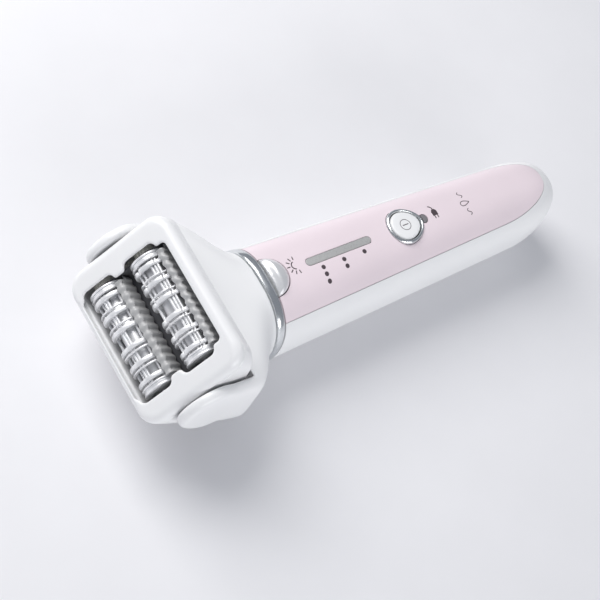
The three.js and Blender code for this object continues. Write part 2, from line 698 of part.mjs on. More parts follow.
function headBase() {
  const inner = HEAD_HALF_WIDTH - BASE_WALL;
  let body = sideProfile(baseOutline(0, BASE_TOP).reverse(), HEAD_HALF_WIDTH)
    .intersect(prism('z', faceOutline(0), -40, 40))
    .subtract(sideProfile(baseOutline(BASE_WALL, BASE_TOP + 5).reverse(), inner)
      .intersect(prism('z', faceOutline(BASE_WALL), -40, 40)))
    .subtract(box([-14, -3.4, -20], [14, 3.4, -5]))
    .subtract(bar('y', PIN_RADIUS + GAP, -30, 30, {}, 18));
  for (const x of Object.values(DRUM_CENTRES)) {
    const socketEnd = HEAD_HALF_WIDTH - 0.6;
    body = body.subtract(bar('y', DRUM_AXLE_RADIUS + GAP, -socketEnd, socketEnd, { x, z: DRUM_Z }, 12));
  }
  return body;
}

// A tray without front or rear walls, whose two end plates carry the drums and combs. Its floor
// arches over the gears on the pivot.
function drumCradle() {
  const outline = [[-13.8, BASE_TOP - 0.2], [-13.4, 5], [-10.8, CRADLE_FLOOR]];
  outline.push([12.6, CRADLE_FLOOR], [17.2, 5.2], [18, BASE_TOP - 0.2]);
  const outer = CRADLE_Y + CRADLE_PLATE;
  let body = sideProfile(outline, outer)
    .subtract(box([-40, -CRADLE_Y, CRADLE_FLOOR + 1], [40, CRADLE_Y, 40]))
    .add(bar('y', TUNNEL_RADIUS, -outer, outer, {}, 32).subtract(box([-9, -30, -9], [9, 30, CRADLE_FLOOR])))
    .subtract(bar('y', TUNNEL_RADIUS - 0.5, -30, 30, {}, 28));
  for (const x of Object.values(DRUM_CENTRES)) {
    body = body.subtract(bar('y', DRUM_AXLE_RADIUS + 1.5, -30, 30, { x, z: DRUM_Z }, 16));
  }
  return body;
}

function skinFrame() {
  const halfMouth = OPENING_HALF_WIDTH;
  const mouth = roundedRectangle(OPENING_FRONT, OPENING_REAR, -halfMouth, halfMouth, 1.4, 3);
  let body = prism('z', faceOutline(0), BASE_TOP + GAP, FACE_Z, 0.9).subtract(prism('z', mouth, 0, 40));
  for (const x of Object.values(DRUM_CENTRES)) {
    const bay = roundedRectangle(x - 6.4, x + 6.4, -20.6, 20.6, 2.2, 4);
    body = body.subtract(prism('z', bay, 0, 40));
  }
  return body.subtract(prism('z', faceOutline(2), 0, FACE_Z - 1.5));
}

// A guide comb beside a drum: a plate with a lip whose edge follows the drum and has a tooth per gap
function comb(left, right, drumX) {
  const plate = box([right - 1, -19, COMB_BOTTOM], [right, 19, BASE_TOP - 0.6]);
  let body = plate.add(box([right - 1, -17.2, BASE_TOP - 1], [right, 17.2, FACE_Z - 0.4]))
    .add(box([left, -17.2, FACE_Z - 3.4], [right, 17.2, FACE_Z - 0.4]));
  body = body.subtract(bar('y', DRUM_RADIUS + 0.4, -30, 30, { x: drumX, z: DRUM_Z }, 36));
  const pitch = 2.9;
  for (let y = -5.5 * pitch; y < 6 * pitch; y += pitch) {
    body = body.subtract(bar('z', 0.75, 10, 40, { x: left, y }, 8));
  }
  return body;
}

// ---------------------------------------------------------------- drums

// Core with a fixed tweezer ring at each station and a collar at each end
function drumCore(x) {
  const at = { x, z: DRUM_Z };
  let body = bar('y', DRUM_CORE_RADIUS, -DRUM_HALF_LENGTH, DRUM_HALF_LENGTH, at, 14);
  for (const side of [-1, 1]) {
    for (const station of STATIONS) {
      const low = side * station - RING_WIDTH / 2;
      body = body.add(bar('y', DRUM_RADIUS, low, low + RING_WIDTH, at, RING_SIDES));
    }
    const collar = side * (DRUM_HALF_LENGTH - 0.4);
    body = body.add(bar('y', DRUM_RADIUS - 0.2, collar - 0.4, collar + 0.4, at, RING_SIDES));
  }
  for (let i = 0; i < BLADE_BARS; i += 1) {
    const [dx, dz] = barPlace(i);
    const slot = { x: x + dx, z: DRUM_Z + dz };
    const slotEnd = DRUM_HALF_LENGTH - 1;
    body = body.subtract(bar('y', BLADE_BAR_RADIUS + GAP, -slotEnd, slotEnd, slot, 6));
  }
  return body.subtract(bar('y', DRUM_AXLE_RADIUS + GAP, -30, 30, at, 10));
}

function barPlace(index) {
  const angle = (2 * Math.PI * index) / BLADE_BARS;
  return [BLADE_BAR_CIRCLE * Math.cos(angle), BLADE_BAR_CIRCLE * Math.sin(angle)];
}

// Moving tweezer rings joined by bars, for one half of a drum
function bladeSet(x, side) {
  const at = { x, z: DRUM_Z };
  const offset = RING_WIDTH / 2 + BLADE_OPENING;
  let body;
  for (const station of STATIONS) {
    const near = side * (station + offset);
    const far = near + side * BLADE_WIDTH;
    const ring = bar('y', DRUM_RADIUS - 0.1, Math.min(near, far), Math.max(near, far), at, RING_SIDES)
      .subtract(bar('y', DRUM_CORE_RADIUS + GAP, -30, 30, at, 12));
    body = body ? body.add(ring) : ring;
  }
  const inner = side * (STATIONS[0] + offset + 0.1);
  const outer = side * (STATIONS[2] + offset + BLADE_WIDTH - 0.1);
  for (let i = 0; i < BLADE_BARS; i += 1) {
    const [dx, dz] = barPlace(i);
    const place = { x: x + dx, z: DRUM_Z + dz };
    body = body.add(bar('y', BLADE_BAR_RADIUS, Math.min(inner, outer), Math.max(inner, outer), place, 5));
  }
  return body;
}

function drumGear(x) {
  const pivotwards = Math.atan2(DRUM_Z, -x);
  const phase = meshingPhase(Math.PI - pivotwards, 0, TRANSFER_TEETH, DRUM_TEETH);
  const span = { start: GEAR_Y, end: GEAR_Y + GEAR_WIDTH };
  return spurGear('y', { teeth: DRUM_TEETH, module: HEAD_MODULE, phase, ...span, at: [x, 0, DRUM_Z] })
    .add(bar('y', 1.9, DRUM_HALF_LENGTH + GAP, GEAR_Y + 0.3, { x, z: DRUM_Z }, 14))
    .subtract(bar('y', DRUM_AXLE_RADIUS + GAP, 0, 30, { x, z: DRUM_Z }, 12));
}

function drumAxle(x) {
  const end = HEAD_HALF_WIDTH - 0.9;
  return bar('y', DRUM_AXLE_RADIUS, -end, end, { x, z: DRUM_Z }, 12);
}

// ---------------------------------------------------------------- assembly

function addPart(group, name, body, material) {
  const mesh = new THREE.Mesh(geometryOf(body), material);
  mesh.name = name;
  group.add(mesh);
}

const handle = new THREE.Group();
addPart(handle, 'rear_shell', rearShell(), white);
addPart(handle, 'front_panel', frontPanel(), pink);
addPart(handle, 'neck_ring', neckRing(), chrome);
addPart(handle, 'light_lens', lightLens(), frosted);
addPart(handle, 'speed_window', speedWindow(), windowGrey);
addPart(handle, 'button_bezel', buttonBezel(), chrome);
addPart(handle, 'power_button', powerButton(), white);
addPart(handle, 'charge_lamp_lens', chargeLampLens(), smoked);
addPart(handle, 'release_button', releaseButton(), white);
addPart(handle, 'release_spring', releaseSpring(), steel);
addPart(handle, 'neck_bulkhead', neckBulkhead(), darkGrey);
addPart(handle, 'shaft_seal', shaftSeal(), rubber);
addPart(handle, 'chassis', chassis(), darkGrey);
addPart(handle, 'drive_motor', driveMotor(), steel);
addPart(handle, 'motor_screw_left', motorScrew(1), steel);
addPart(handle, 'motor_screw_right', motorScrew(-1), steel);
addPart(handle, 'motor_pinion', motorPinion(), brass);
addPart(handle, 'reduction_gear', reductionGear(), gearWhite);
addPart(handle, 'reduction_axle', reductionAxle(), steel);
addPart(handle, 'output_gear', outputGear(), gearWhite);
addPart(handle, 'battery_cell', batteryCell(), cellBlue);
addPart(handle, 'battery_contact_front', batteryContact(BATTERY_X - 0.8, 0.5), brass);
addPart(handle, 'battery_contact_rear', batteryContact(BATTERY_X + BATTERY_LENGTH + GAP, 0.5), brass);
addPart(handle, 'circuit_board', circuitBoard(), boardGreen);
addPart(handle, 'button_switch', buttonSwitch(), darkGrey);
addPart(handle, 'light_led', led(BULKHEAD_X + 0.3, 6.6, 12.9), frosted);
addPart(handle, 'speed_led', led((WINDOW_START + WINDOW_END) / 2, 0, BOARD_TOP + 0.05), frosted);
addPart(handle, 'socket_housing', socketHousing(), darkGrey);
addPart(handle, 'socket_pin_left', socketPin(1), brass);
addPart(handle, 'socket_pin_right', socketPin(-1), brass);

const yoke = new THREE.Group();
addPart(yoke, 'yoke_housing', yokeHousing(), white);
addPart(yoke, 'pivot_pin', pivotPin(-PIN_END, -PIN_START), steel);
addPart(yoke, 'pivot_axle', pivotPin(2.7, PIN_END), steel);
addPart(yoke, 'head_drive_shaft', headDriveShaft(), gearWhite);
addPart(yoke, 'transfer_gear', transferGear(), gearWhite);

const head = new THREE.Group();
head.position.set(PIVOT_X, 0, PIVOT_Z);
head.rotation.y = REST_TILT - Math.PI / 2;
addPart(head, 'head_base', headBase(), white);
addPart(head, 'drum_cradle', drumCradle(), darkGrey);
addPart(head, 'skin_frame', skinFrame(), white);
addPart(head, 'front_comb', comb(-4.2, -0.5, DRUM_CENTRES.front), combGrey);
addPart(head, 'rear_comb', comb(13.6, 16.8, DRUM_CENTRES.rear), combGrey);
for (const [name, x] of Object.entries(DRUM_CENTRES)) {
  addPart(head, `${name}_drum`, drumCore(x), steel);
  addPart(head, `${name}_drum_gear`, drumGear(x), gearWhite);
  addPart(head, `${name}_drum_axle`, drumAxle(x), steel);
  addPart(head, `${name}_blades_left`, bladeSet(x, 1), steel);
  addPart(head, `${name}_blades_right`, bladeSet(x, -1), steel);
}

const epilator = new THREE.Group();
epilator.add(handle, yoke, head);
epilator.updateMatrixWorld(true);
const bounds = new THREE.Box3().setFromObject(epilator);
epilator.position.set(-(bounds.min.x + bounds.max.x) / 2, 0, -bounds.min.z);

export default epilator;
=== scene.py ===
import json
import math

import bmesh
import bpy
import numpy as np
from mathutils import Matrix, Vector


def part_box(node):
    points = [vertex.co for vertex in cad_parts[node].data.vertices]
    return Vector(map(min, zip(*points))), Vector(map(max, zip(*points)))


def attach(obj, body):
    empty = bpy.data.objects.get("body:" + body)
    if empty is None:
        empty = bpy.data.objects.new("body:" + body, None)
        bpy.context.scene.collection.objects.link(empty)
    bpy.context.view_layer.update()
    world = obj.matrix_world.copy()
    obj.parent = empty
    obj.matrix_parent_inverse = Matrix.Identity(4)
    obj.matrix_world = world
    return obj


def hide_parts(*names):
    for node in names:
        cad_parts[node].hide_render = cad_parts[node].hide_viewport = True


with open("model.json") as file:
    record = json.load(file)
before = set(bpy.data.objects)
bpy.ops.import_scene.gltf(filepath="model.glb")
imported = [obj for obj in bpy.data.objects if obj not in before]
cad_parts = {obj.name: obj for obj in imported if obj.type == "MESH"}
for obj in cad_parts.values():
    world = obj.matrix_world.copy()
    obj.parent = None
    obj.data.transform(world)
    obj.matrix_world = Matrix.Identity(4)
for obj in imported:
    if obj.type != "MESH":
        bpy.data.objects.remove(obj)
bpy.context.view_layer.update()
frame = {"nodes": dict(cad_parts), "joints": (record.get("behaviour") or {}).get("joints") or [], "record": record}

# ---------------------------------------------------------------- dimensions, in millimetres
# Pieces are drawn in the handle frame: origin in the middle of the ring's head-side face, +X to the
# tail, +Z out of the front panel.

OFFSET = np.array([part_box("neck_ring")[0][0] * 1000, 0.0, 16.0])
SWIVEL = next(j for j in frame["joints"] if j["name"] == "head_swivel")
PIVOT = np.array(SWIVEL["pos_m"]) * 1000 - OFFSET
TILT = math.radians(40)
ACROSS = np.array([math.sin(TILT), 0.0, math.cos(TILT)])
OUTWARD = np.array([-math.cos(TILT), 0.0, math.sin(TILT)])

# The handle's casing: a squared-off oval that narrows towards its rounded tail.
FRONT_HALF_WIDTH = 19.0
WIDTH_TAPER = 0.037
TOP_HEIGHT = 20.2
BOTTOM_DEPTH = 16.6
BACK_FLAT = -16.0
SQUARENESS = 2.4
TAIL_START = 116.8
TAIL_END = 140.3
TIP_POWER = 2.2
PLAN_FALL = 2.4
SIDE_FALL = 3
WALL = 2.5
SHELL_FRONT = 3.5
INSIDE_FRONT = -2

# The front panel and what sits in it. WINDOW is the speed display's two ends and its width.
PANEL_HALF_WIDTH = 15.05
PANEL_TAPER = 0.034
PANEL_STRAIGHT_END = 105.5
PANEL_END = 129
PANEL_GAP = 0.06
PANEL_WALL = 1.5
ABOVE_PANEL = 40
LENS_RADIUS = 7.1
LENS_FOOT = 17.6
LENS_EDGE = 19.3
LENS_RISE = 3.9
WINDOW = (18.6, 46.2, 2.65)
BUTTON_X = 61.7
BUTTON_RADIUS = 5.4
BEZEL_RADIUS = 6.9
LAMP_X = 70.3
LAMP_RADIUS = 1.6
RELEASE_X = 13.2
INK_LIFT = 0.04
INK_DEPTH = 0.05

# The yoke. Each arm ends in a disc about ARM_X, ARM_Z, cut off at the slanting heel below it. The bay
# is the room between the arms, and the spigot is the neck's foot inside the handle.
ARM_X = -35.0
ARM_Z = 13.5
ARM_RADIUS = 11.7
ARM_LOWER_REACH = 14.5
ARM_INNER_Y = 28.9
ARM_OUTER_Y = 33.0
ARM_EDGE = 2.2
ARM_BLEND = 8
ARM_SQUARENESS = 5.6
DISC_LOWER_REACH = 16.0
HEEL = (-43.2, 5.2)
BAY_RADIUS = 15.2
BAY_END = PIVOT[0] + 12.2
BAY_CORNER = 8.5
NECK_LENGTH = 19.5
NECK_WALL = (3.0, 4.4)
SPIGOT = (-8, 7)
HOLLOW_FRONT = -12.5
PIN_BORE = 2.35
PIN_END = 31.7
SHAFT_BORE = 2.9

# The head, in its own frame: across the drums, along them and outward, from the swivel's axis. FACE and
# OPENING are front and rear edges, and DRUM_BAY is half the size of the opening round each drum.
FACE_Z = 14.0
FACE = (-18.5, 22.8)
HEAD_HALF_WIDTH = 28.2
HEAD_CORNER = 7
FRAME_WALL = 1.7
FRAME_EDGE = 3.0
FRAME_SLOT = (-17.3, -16.9, 19.5)
OPENING = (-16.2, 18.4)
OPENING_HALF_WIDTH = 18.2
DRUM_BAY = (6.4, 20.6)
BASE_TOP = 10.2
BASE_WALL = 1.8
BACK_RADIUS = 12.4
COMB_PITCH = 2.9
COMB_BOTTOM = 5.6
COMB_HALF_LENGTH = 17.2
COMB_ROOT_HALF_LENGTH = 19
# The drums. BLADE_OFFSET is where a sliding blade begins and ends behind its fixed ring.
DRUM_X = {"front": -8.6, "rear": 8.6}
DRUM_Z = 7.8
DRUM_RADIUS = 6.6
DRUM_HALF_LENGTH = 18.8
HUB_RADIUS = 3.9
SPOKE_FOOT = 3.8
RING_BORE = 5.2
RING_HALF = 0.72
BLADE_RADIUS = 6.5
BLADE_BORE = 5.6
BLADE_OFFSET = (1.62, 2.08)
STATIONS = [-14.9, -9.0, -3.2, 3.2, 9.0, 14.9]
BAR_ANGLES = [i * 2 * math.pi / 3 for i in range(3)]
LOBES = 5
VALLEY = 5.8
PILLAR_END = 16.5
PILLAR_DISTANCE = 5.0
BAR_DISTANCE = 4.5
BAR_SPAN = (4.9, 16.9)

# ---------------------------------------------------------------- geometry helpers


def smooth(t):
    """A rise from 0 to 1 that starts and ends level."""
    t = np.clip(t, 0.0, 1.0)
    return t * t * (3 - 2 * t)


def ease(t, power):
    """A cosine or sine turned into the coordinate of a squared-off circle."""
    return np.sign(t) * np.abs(t) ** (2 / power)


def turns(sides):
    """Angles that divide a full turn evenly."""
    return np.linspace(0, 2 * math.pi, sides, endpoint=False)


def section(x, angle, inset):
    """A point of the handle's outer surface, drawn in by inset."""
    tail = np.clip((x - TAIL_START) / (TAIL_END - inset - TAIL_START), 0, 1)
    width = (FRONT_HALF_WIDTH - WIDTH_TAPER * x - inset) * (1 - tail**PLAN_FALL) ** (1 / TIP_POWER)
    height = np.where(np.sin(angle) > 0, TOP_HEIGHT, BOTTOM_DEPTH) - inset
    height = height * (1 - tail**SIDE_FALL) ** (1 / TIP_POWER)
    y = width * ease(np.cos(angle), SQUARENESS)
    z = np.maximum(height * ease(np.sin(angle), SQUARENESS), BACK_FLAT + max(inset, 0))
    return np.stack([x + 0 * y, y, z], axis=-1)


def panel_top(x, y):
    """Height of the front panel's surface over a point."""
    half = FRONT_HALF_WIDTH - WIDTH_TAPER * x
    return TOP_HEIGHT * (1 - (np.abs(y) / half) ** SQUARENESS) ** (1 / SQUARENESS)


def grid_faces(rows, columns, close_rows=False, close_columns=True):
    """Quads over a grid of points, which closes on itself in one direction, both or neither."""
    faces = []
    for i in range(rows if close_rows else rows - 1):
        for j in range(columns if close_columns else columns - 1):
            a, b = i * columns + j, i * columns + (j + 1) % columns
            c, d = ((i + 1) % rows) * columns + (j + 1) % columns, ((i + 1) % rows) * columns + j
            faces.append((a, b, c, d))
    return faces


def stack(rings):
    """A closed body through rings of points, with a flat face at each end."""
    count = len(rings[0])
    faces = grid_faces(len(rings), count)
    faces.append(tuple(reversed(range(count))))
    faces.append(tuple(range((len(rings) - 1) * count, len(rings) * count)))
    return np.concatenate(rings), faces


def handle_body(inset, start):
    """The handle's solid, from start to the tail."""
    length = TAIL_END - inset - TAIL_START
    tail = TAIL_START + length * np.sin(np.linspace(0.05, 1.46, 26))
    xs = [*np.linspace(start, TAIL_START, 60), *tail]
    points, faces = stack([section(x, turns(144), inset) for x in xs])
    return points, [tuple(reversed(f)) for f in faces]


def around_handle(profile):
    """A hoop whose closed profile of [x, inset] points is carried round the handle's section."""
    sides = 240
    points = np.concatenate([section(x, turns(sides), inset) for x, inset in profile])
    return points, grid_faces(len(profile), sides, close_rows=True)


def prism(outline, low, high, bevel=0.0):
    """An [x, y] outline raised along Z, its top edge taken in by bevel."""
    outline = np.asarray(outline, float)
    middle = outline.mean(axis=0)
    away = outline - middle
    reach = np.linalg.norm(away, axis=1, keepdims=True)
    levels = [(low, 0.0)]
    for t in (0, 0.5, 1.05, 1.57) if bevel else (0,):
        levels.append((high - bevel * (1 - math.sin(t)), bevel * (1 - math.cos(t))))
    rings = []
    for z, inset in levels:
        flat = middle + away * (1 - inset / reach)
        rings.append(np.column_stack([flat, np.full(len(flat), z)]))
    return stack(rings)


def swept(outline, profile):
    """A hoop: a closed profile of [inwards, z] points carried round a closed [x, y] outline."""
    outline = np.asarray(outline, float)
    after, before = np.roll(outline, -1, axis=0), np.roll(outline, 1, axis=0)
    along = after - before
    inwards = np.column_stack([-along[:, 1], along[:, 0]]) / np.linalg.norm(along, axis=1, keepdims=True)
    rings = [np.column_stack([outline + inwards * d, np.full(len(outline), z)]) for d, z in profile]
    return np.concatenate(rings), grid_faces(len(profile), len(outline), close_rows=True)


def circle(radius, sides, centre):
    t = turns(sides)
    return np.column_stack([centre[0] + radius * np.cos(t), centre[1] + radius * np.sin(t)])


def rounded_rectangle(left, right, bottom, top, radius, steps=10):
    corners = [(right - radius, top - radius, 0), (left + radius, top - radius, 1),
               (left + radius, bottom + radius, 2), (right - radius, bottom + radius, 3)]
    points = []
    for x, y, turn in corners:
        for t in np.linspace(turn * math.pi / 2, (turn + 1) * math.pi / 2, steps):
            points.append((x + radius * math.cos(t), y + radius * math.sin(t)))
    return np.array(points)


def panel_outline(growth, start):
    """Plan outline of the front panel, grown by growth."""
    straight = np.linspace(start, PANEL_STRAIGHT_END, 40, endpoint=False)
    u = np.sin(np.linspace(0, math.pi / 2, 28))
    x = PANEL_STRAIGHT_END + u * (PANEL_END + growth - PANEL_STRAIGHT_END)
    y = (PANEL_HALF_WIDTH - PANEL_TAPER * x + growth) * (1 - u**PLAN_FALL) ** (1 / TIP_POWER)
    ys = np.concatenate([PANEL_HALF_WIDTH - PANEL_TAPER * straight + growth, y])
    side = np.column_stack([np.concatenate([straight, x]), ys])
    return np.concatenate([side, side[-2::-1] * [1, -1]])[::-1]


def egg(radius, shift=0.0):
    """The power button's outline, a circle drawn out a little towards the tail."""
    t = turns(96)
    c = np.cos(t)
    reach = radius * c * np.where(c > 0, 1 + 0.14 * c, 1)
    return np.column_stack([BUTTON_X + shift + reach, radius * np.sin(t) * (1 - 0.06 * c)])


def dome_disc(centre, radius, low, shoulder, rise):
    """An upright cylinder from low to its shoulder, under a dome of height rise."""
    sides = 48
    rings = [np.column_stack([circle(radius, sides, centre), np.full(sides, low)])]
    for t in np.linspace(0, 1.5, 9):
        flat = circle(radius * math.cos(t), sides, centre)
        rings.append(np.column_stack([flat, np.full(sides, shoulder + rise * math.sin(t))]))
    return stack(rings)


def merged(parts):
    """Several closed bodies as one mesh."""
    points, faces, start = [], [], 0
    for part_points, part_faces in parts:
        points.append(part_points)
        faces += [tuple(i + start for i in f) for f in part_faces]
        start += len(part_points)
    return np.concatenate(points), faces


def head_place(points):
    """From the head's frame (across, along the drums, outward) to the handle frame."""
    points = np.asarray(points, float)
    along = points[:, 1:2] * np.array([[0.0, 1.0, 0.0]])
    return PIVOT + points[:, 0:1] * ACROSS + along + points[:, 2:3] * OUTWARD


# ---------------------------------------------------------------- rounded bodies from distance fields


def soft_max(a, b, k):
    """The larger of two fields, their meeting edge rounded over k."""
    h = np.clip(0.5 + 0.5 * (a - b) / k, 0, 1)
    return b * (1 - h) + a * h + k * h * (1 - h)


def soft_min(a, b, k):
    return -soft_max(-a, -b, k)


def rounded_corner(a, b, radius):
    """Intersection of two half-spaces whose shared edge has a radius."""
    a, b = a + radius, b + radius
    return np.hypot(np.maximum(a, 0), np.maximum(b, 0)) + np.minimum(np.maximum(a, b), 0) - radius


def rectangle(x, y, left, right, bottom, top, radius):
    """Signed distance to a rectangle with rounded corners."""
    a = np.abs(x - (left + right) / 2) - (right - left) / 2
    b = np.abs(y - (bottom + top) / 2) - (top - bottom) / 2
    return rounded_corner(a, b, radius)


def polygon(x, y, corners):
    """Signed distance to a polygon, negative inside."""
    corners = np.asarray(corners, float)
    best = np.full(x.shape, 1e9)
    inside = np.zeros(x.shape, bool)
    for (ax, ay), (bx, by) in zip(corners, np.roll(corners, -1, axis=0)):
        ex, ey = bx - ax, by - ay
        t = np.clip(((x - ax) * ex + (y - ay) * ey) / (ex * ex + ey * ey), 0, 1)
        best = np.minimum(best, np.hypot(x - ax - t * ex, y - ay - t * ey))
        crosses = ((ay > y) != (by > y)) & (x < (bx - ax) * (y - ay) / (by - ay + 1e-12) + ax)
        inside ^= crosses
    return np.where(inside, -best, best)


def skin(field, low, high, step):
    """The zero surface of field(x, y, z) over a box, as points and quads (surface nets)."""
    axes = [np.arange(l - 1.5 * step, h + 2.5 * step, step) for l, h in zip(low, high)]
    values = field(*np.meshgrid(*axes, indexing="ij")).astype(np.float32)
    _, ny, nz = values.shape
    inside = values < 0
    cell_ids, cell_points, quads = [], [], []
    for axis in range(3):
        a = [slice(None)] * 3
        b = [slice(None)] * 3
        a[axis], b[axis] = slice(0, -1), slice(1, None)
        va, vb = values[tuple(a)], values[tuple(b)]
        ia, ib = inside[tuple(a)], inside[tuple(b)]
        index = np.stack(np.nonzero(ia != ib), axis=1)
        first = ia[tuple(index.T)]
        fa, fb = va[tuple(index.T)], vb[tuple(index.T)]
        point = index.astype(float)
        point[:, axis] += fa / (fa - fb)
        u, v = (axis + 1) % 3, (axis + 2) % 3
        ring = []
        for du, dv in ((0, 0), (1, 0), (1, 1), (0, 1)):
            cell = index.copy()
            cell[:, u] -= du
            cell[:, v] -= dv
            ident = (cell[:, 0] * ny + cell[:, 1]) * nz + cell[:, 2]
            ring.append(ident)
            cell_ids.append(ident)
            cell_points.append(point)
        quad = np.stack(ring, axis=1)
        quads.append(np.where(first[:, None], quad, quad[:, ::-1]))
    ids = np.concatenate(cell_ids)
    points = np.concatenate(cell_points)
    unique, inverse = np.unique(ids, return_inverse=True)
    total = np.bincount(inverse, minlength=len(unique))
    sums = np.column_stack([np.bincount(inverse, points[:, k], len(unique)) for k in range(3)])
    verts = sums / total[:, None]
    faces = np.searchsorted(unique, np.concatenate(quads))
    for _ in range(2):
        verts = relaxed(verts, faces)
    origin = np.array([axis[0] for axis in axes])
    return origin + verts * step, [tuple(f) for f in faces.tolist()]


def relaxed(verts, faces):
    """Moves each vertex part of the way to the mean of its neighbours."""
    a = faces.ravel()
    b = np.roll(faces, -1, axis=1).ravel()
    count = np.bincount(a, minlength=len(verts)) + np.bincount(b, minlength=len(verts))
    sums = [
        np.bincount(a, verts[b, k], len(verts)) + np.bincount(b, verts[a, k], len(verts)) for k in range(3)
    ]
    mean = np.column_stack(sums) / count[:, None]
    return verts * 0.5 + mean * 0.5


# ---------------------------------------------------------------- objects


def new_object(name, points, faces):
    """An object from points in the handle frame, in millimetres."""
    mesh = bpy.data.meshes.new(name)
    mesh.from_pydata(((np.asarray(points, float) + OFFSET) / 1000).tolist(), [], faces)
    mesh.update()
    obj = bpy.data.objects.new(name, mesh)
    bpy.context.scene.collection.objects.link(obj)
    return obj


def cut(obj, parts, operation="DIFFERENCE"):
    """Applies a boolean with each [points, faces] cutter in turn."""
    for points, faces in parts:
        cutter = new_object("cutter", points, faces)
        fix_normals(cutter)
        modifier = obj.modifiers.new("cut", "BOOLEAN")
        modifier.operation = operation
        modifier.solver = "EXACT"
        modifier.object = cutter
        evaluated = obj.evaluated_get(bpy.context.evaluated_depsgraph_get())
        result = bpy.data.meshes.new_from_object(evaluated)
        obj.modifiers.clear()
        obj.data = result
        bpy.data.objects.remove(cutter)


def fix_normals(obj):
    work = bmesh.new()
    work.from_mesh(obj.data)
    bmesh.ops.recalc_face_normals(work, faces=work.faces)
    work.to_mesh(obj.data)
    work.free()


def dress(obj, material, body, replaces=(), angle=35):
    """Gives a piece its material, its shading and the body it rides on."""
    fix_normals(obj)
    obj.data.materials.clear()
    obj.data.materials.append(material)
    for face in obj.data.polygons:
        face.material_index = 0
    obj.data.shade_smooth()
    obj.data.set_sharp_from_angle(angle=math.radians(angle))
    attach(obj, body)
    if replaces:
        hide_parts(*replaces)


# ---------------------------------------------------------------- materials


DRIFT_SCALE = 38
RELIEF_DEPTH = 0.0001


def surface(name, color, roughness, metallic=0.0, spread=0.03, grain=900, bump=0.02, rough_spread=0.05,
            stretch=(1, 1, 1), soft_edge=0.0, **sockets):
    """A procedural material with a slight drift of colour and roughness and a fine grain.

    Further keywords set sockets of the shader, with underscores for spaces.
    """
    material = bpy.data.materials.new(name)
    material.use_nodes = True
    nodes, links = material.node_tree.nodes, material.node_tree.links
    shader = nodes["Principled BSDF"]
    shader.inputs["Metallic"].default_value = metallic
    for socket, value in sockets.items():
        shader.inputs[socket.replace("_", " ")].default_value = value
    place = nodes.new("ShaderNodeTexCoord")
    scale = nodes.new("ShaderNodeMapping")
    scale.inputs["Scale"].default_value = stretch
    links.new(place.outputs["Object"], scale.inputs["Vector"])

    broad = nodes.new("ShaderNodeTexNoise")
    broad.inputs["Scale"].default_value = DRIFT_SCALE
    broad.inputs["Detail"].default_value = 4
    links.new(scale.outputs["Vector"], broad.inputs["Vector"])
    ramp = nodes.new("ShaderNodeValToRGB")
    ramp.color_ramp.elements[0].position = 0.3
    ramp.color_ramp.elements[1].position = 0.7
    ramp.color_ramp.elements[0].color = (*[c * (1 - spread) for c in color], 1)
    ramp.color_ramp.elements[1].color = (*[min(1, c * (1 + spread)) for c in color], 1)
    links.new(broad.outputs["Fac"], ramp.inputs["Fac"])
    links.new(ramp.outputs["Color"], shader.inputs["Base Color"])

    fine = nodes.new("ShaderNodeTexNoise")
    fine.inputs["Scale"].default_value = grain
    fine.inputs["Detail"].default_value = 3
    links.new(scale.outputs["Vector"], fine.inputs["Vector"])
    rough = nodes.new("ShaderNodeMapRange")
    rough.inputs["To Min"].default_value = max(0.02, roughness - rough_spread)
    rough.inputs["To Max"].default_value = roughness + rough_spread
    links.new(fine.outputs["Fac"], rough.inputs["Value"])
    links.new(rough.outputs["Result"], shader.inputs["Roughness"])

    relief = nodes.new("ShaderNodeBump")
    relief.inputs["Strength"].default_value = bump
    relief.inputs["Distance"].default_value = RELIEF_DEPTH
    links.new(fine.outputs["Fac"], relief.inputs["Height"])
    if soft_edge:
        edge = nodes.new("ShaderNodeBevel")
        edge.samples = 6
        edge.inputs["Radius"].default_value = soft_edge / 1000
        links.new(edge.outputs["Normal"], relief.inputs["Normal"])
    links.new(relief.outputs["Normal"], shader.inputs["Normal"])
    return material


WHITE = surface("white_satin", (0.89, 0.89, 0.895), 0.34, spread=0.012, grain=1400, bump=0.05,
                soft_edge=0.25, Coat_Weight=0.25, Coat_Roughness=0.18)
PINK = surface("pink_satin", (0.86, 0.745, 0.79), 0.38, spread=0.02, grain=2200, bump=0.10,
               soft_edge=0.15, Coat_Weight=0.15, Coat_Roughness=0.25, Sheen_Weight=0.1)
CHROME = surface("chrome", (0.76, 0.78, 0.79), 0.20, metallic=1.0, spread=0.03, grain=700, bump=0.01,
                 rough_spread=0.03)
STEEL = surface("steel", (0.76, 0.76, 0.77), 0.36, metallic=0.6, spread=0.05, grain=1600, bump=0.03,
                stretch=(1, 0.12, 1))
PALE_STEEL = surface("pale_steel", (0.93, 0.93, 0.94), 0.36, metallic=0.4, spread=0.03, grain=1800,
                     bump=0.02)
PEARL = surface("pearl_lens", (0.84, 0.84, 0.85), 0.30, metallic=0.45, spread=0.02, grain=500,
                bump=0.004, Coat_Weight=0.5, Coat_Roughness=0.15)
WINDOW_GREY = surface("window_grey", (0.45, 0.45, 0.445), 0.28, spread=0.04, grain=1200, bump=0.03,
                      Coat_Weight=0.4, Coat_Roughness=0.1)
SMOKED = surface("smoked_lens", (0.22, 0.21, 0.22), 0.12, spread=0.06, grain=900, bump=0.01,
                 Coat_Weight=1.0, Coat_Roughness=0.04)
COMB = surface("comb_grey", (0.46, 0.46, 0.46), 0.36, spread=0.05, grain=900, bump=0.03,
               Coat_Weight=0.4, Coat_Roughness=0.2)
DARK = surface("dark_plastic", (0.13, 0.13, 0.14), 0.50, spread=0.10, grain=1500, bump=0.15)
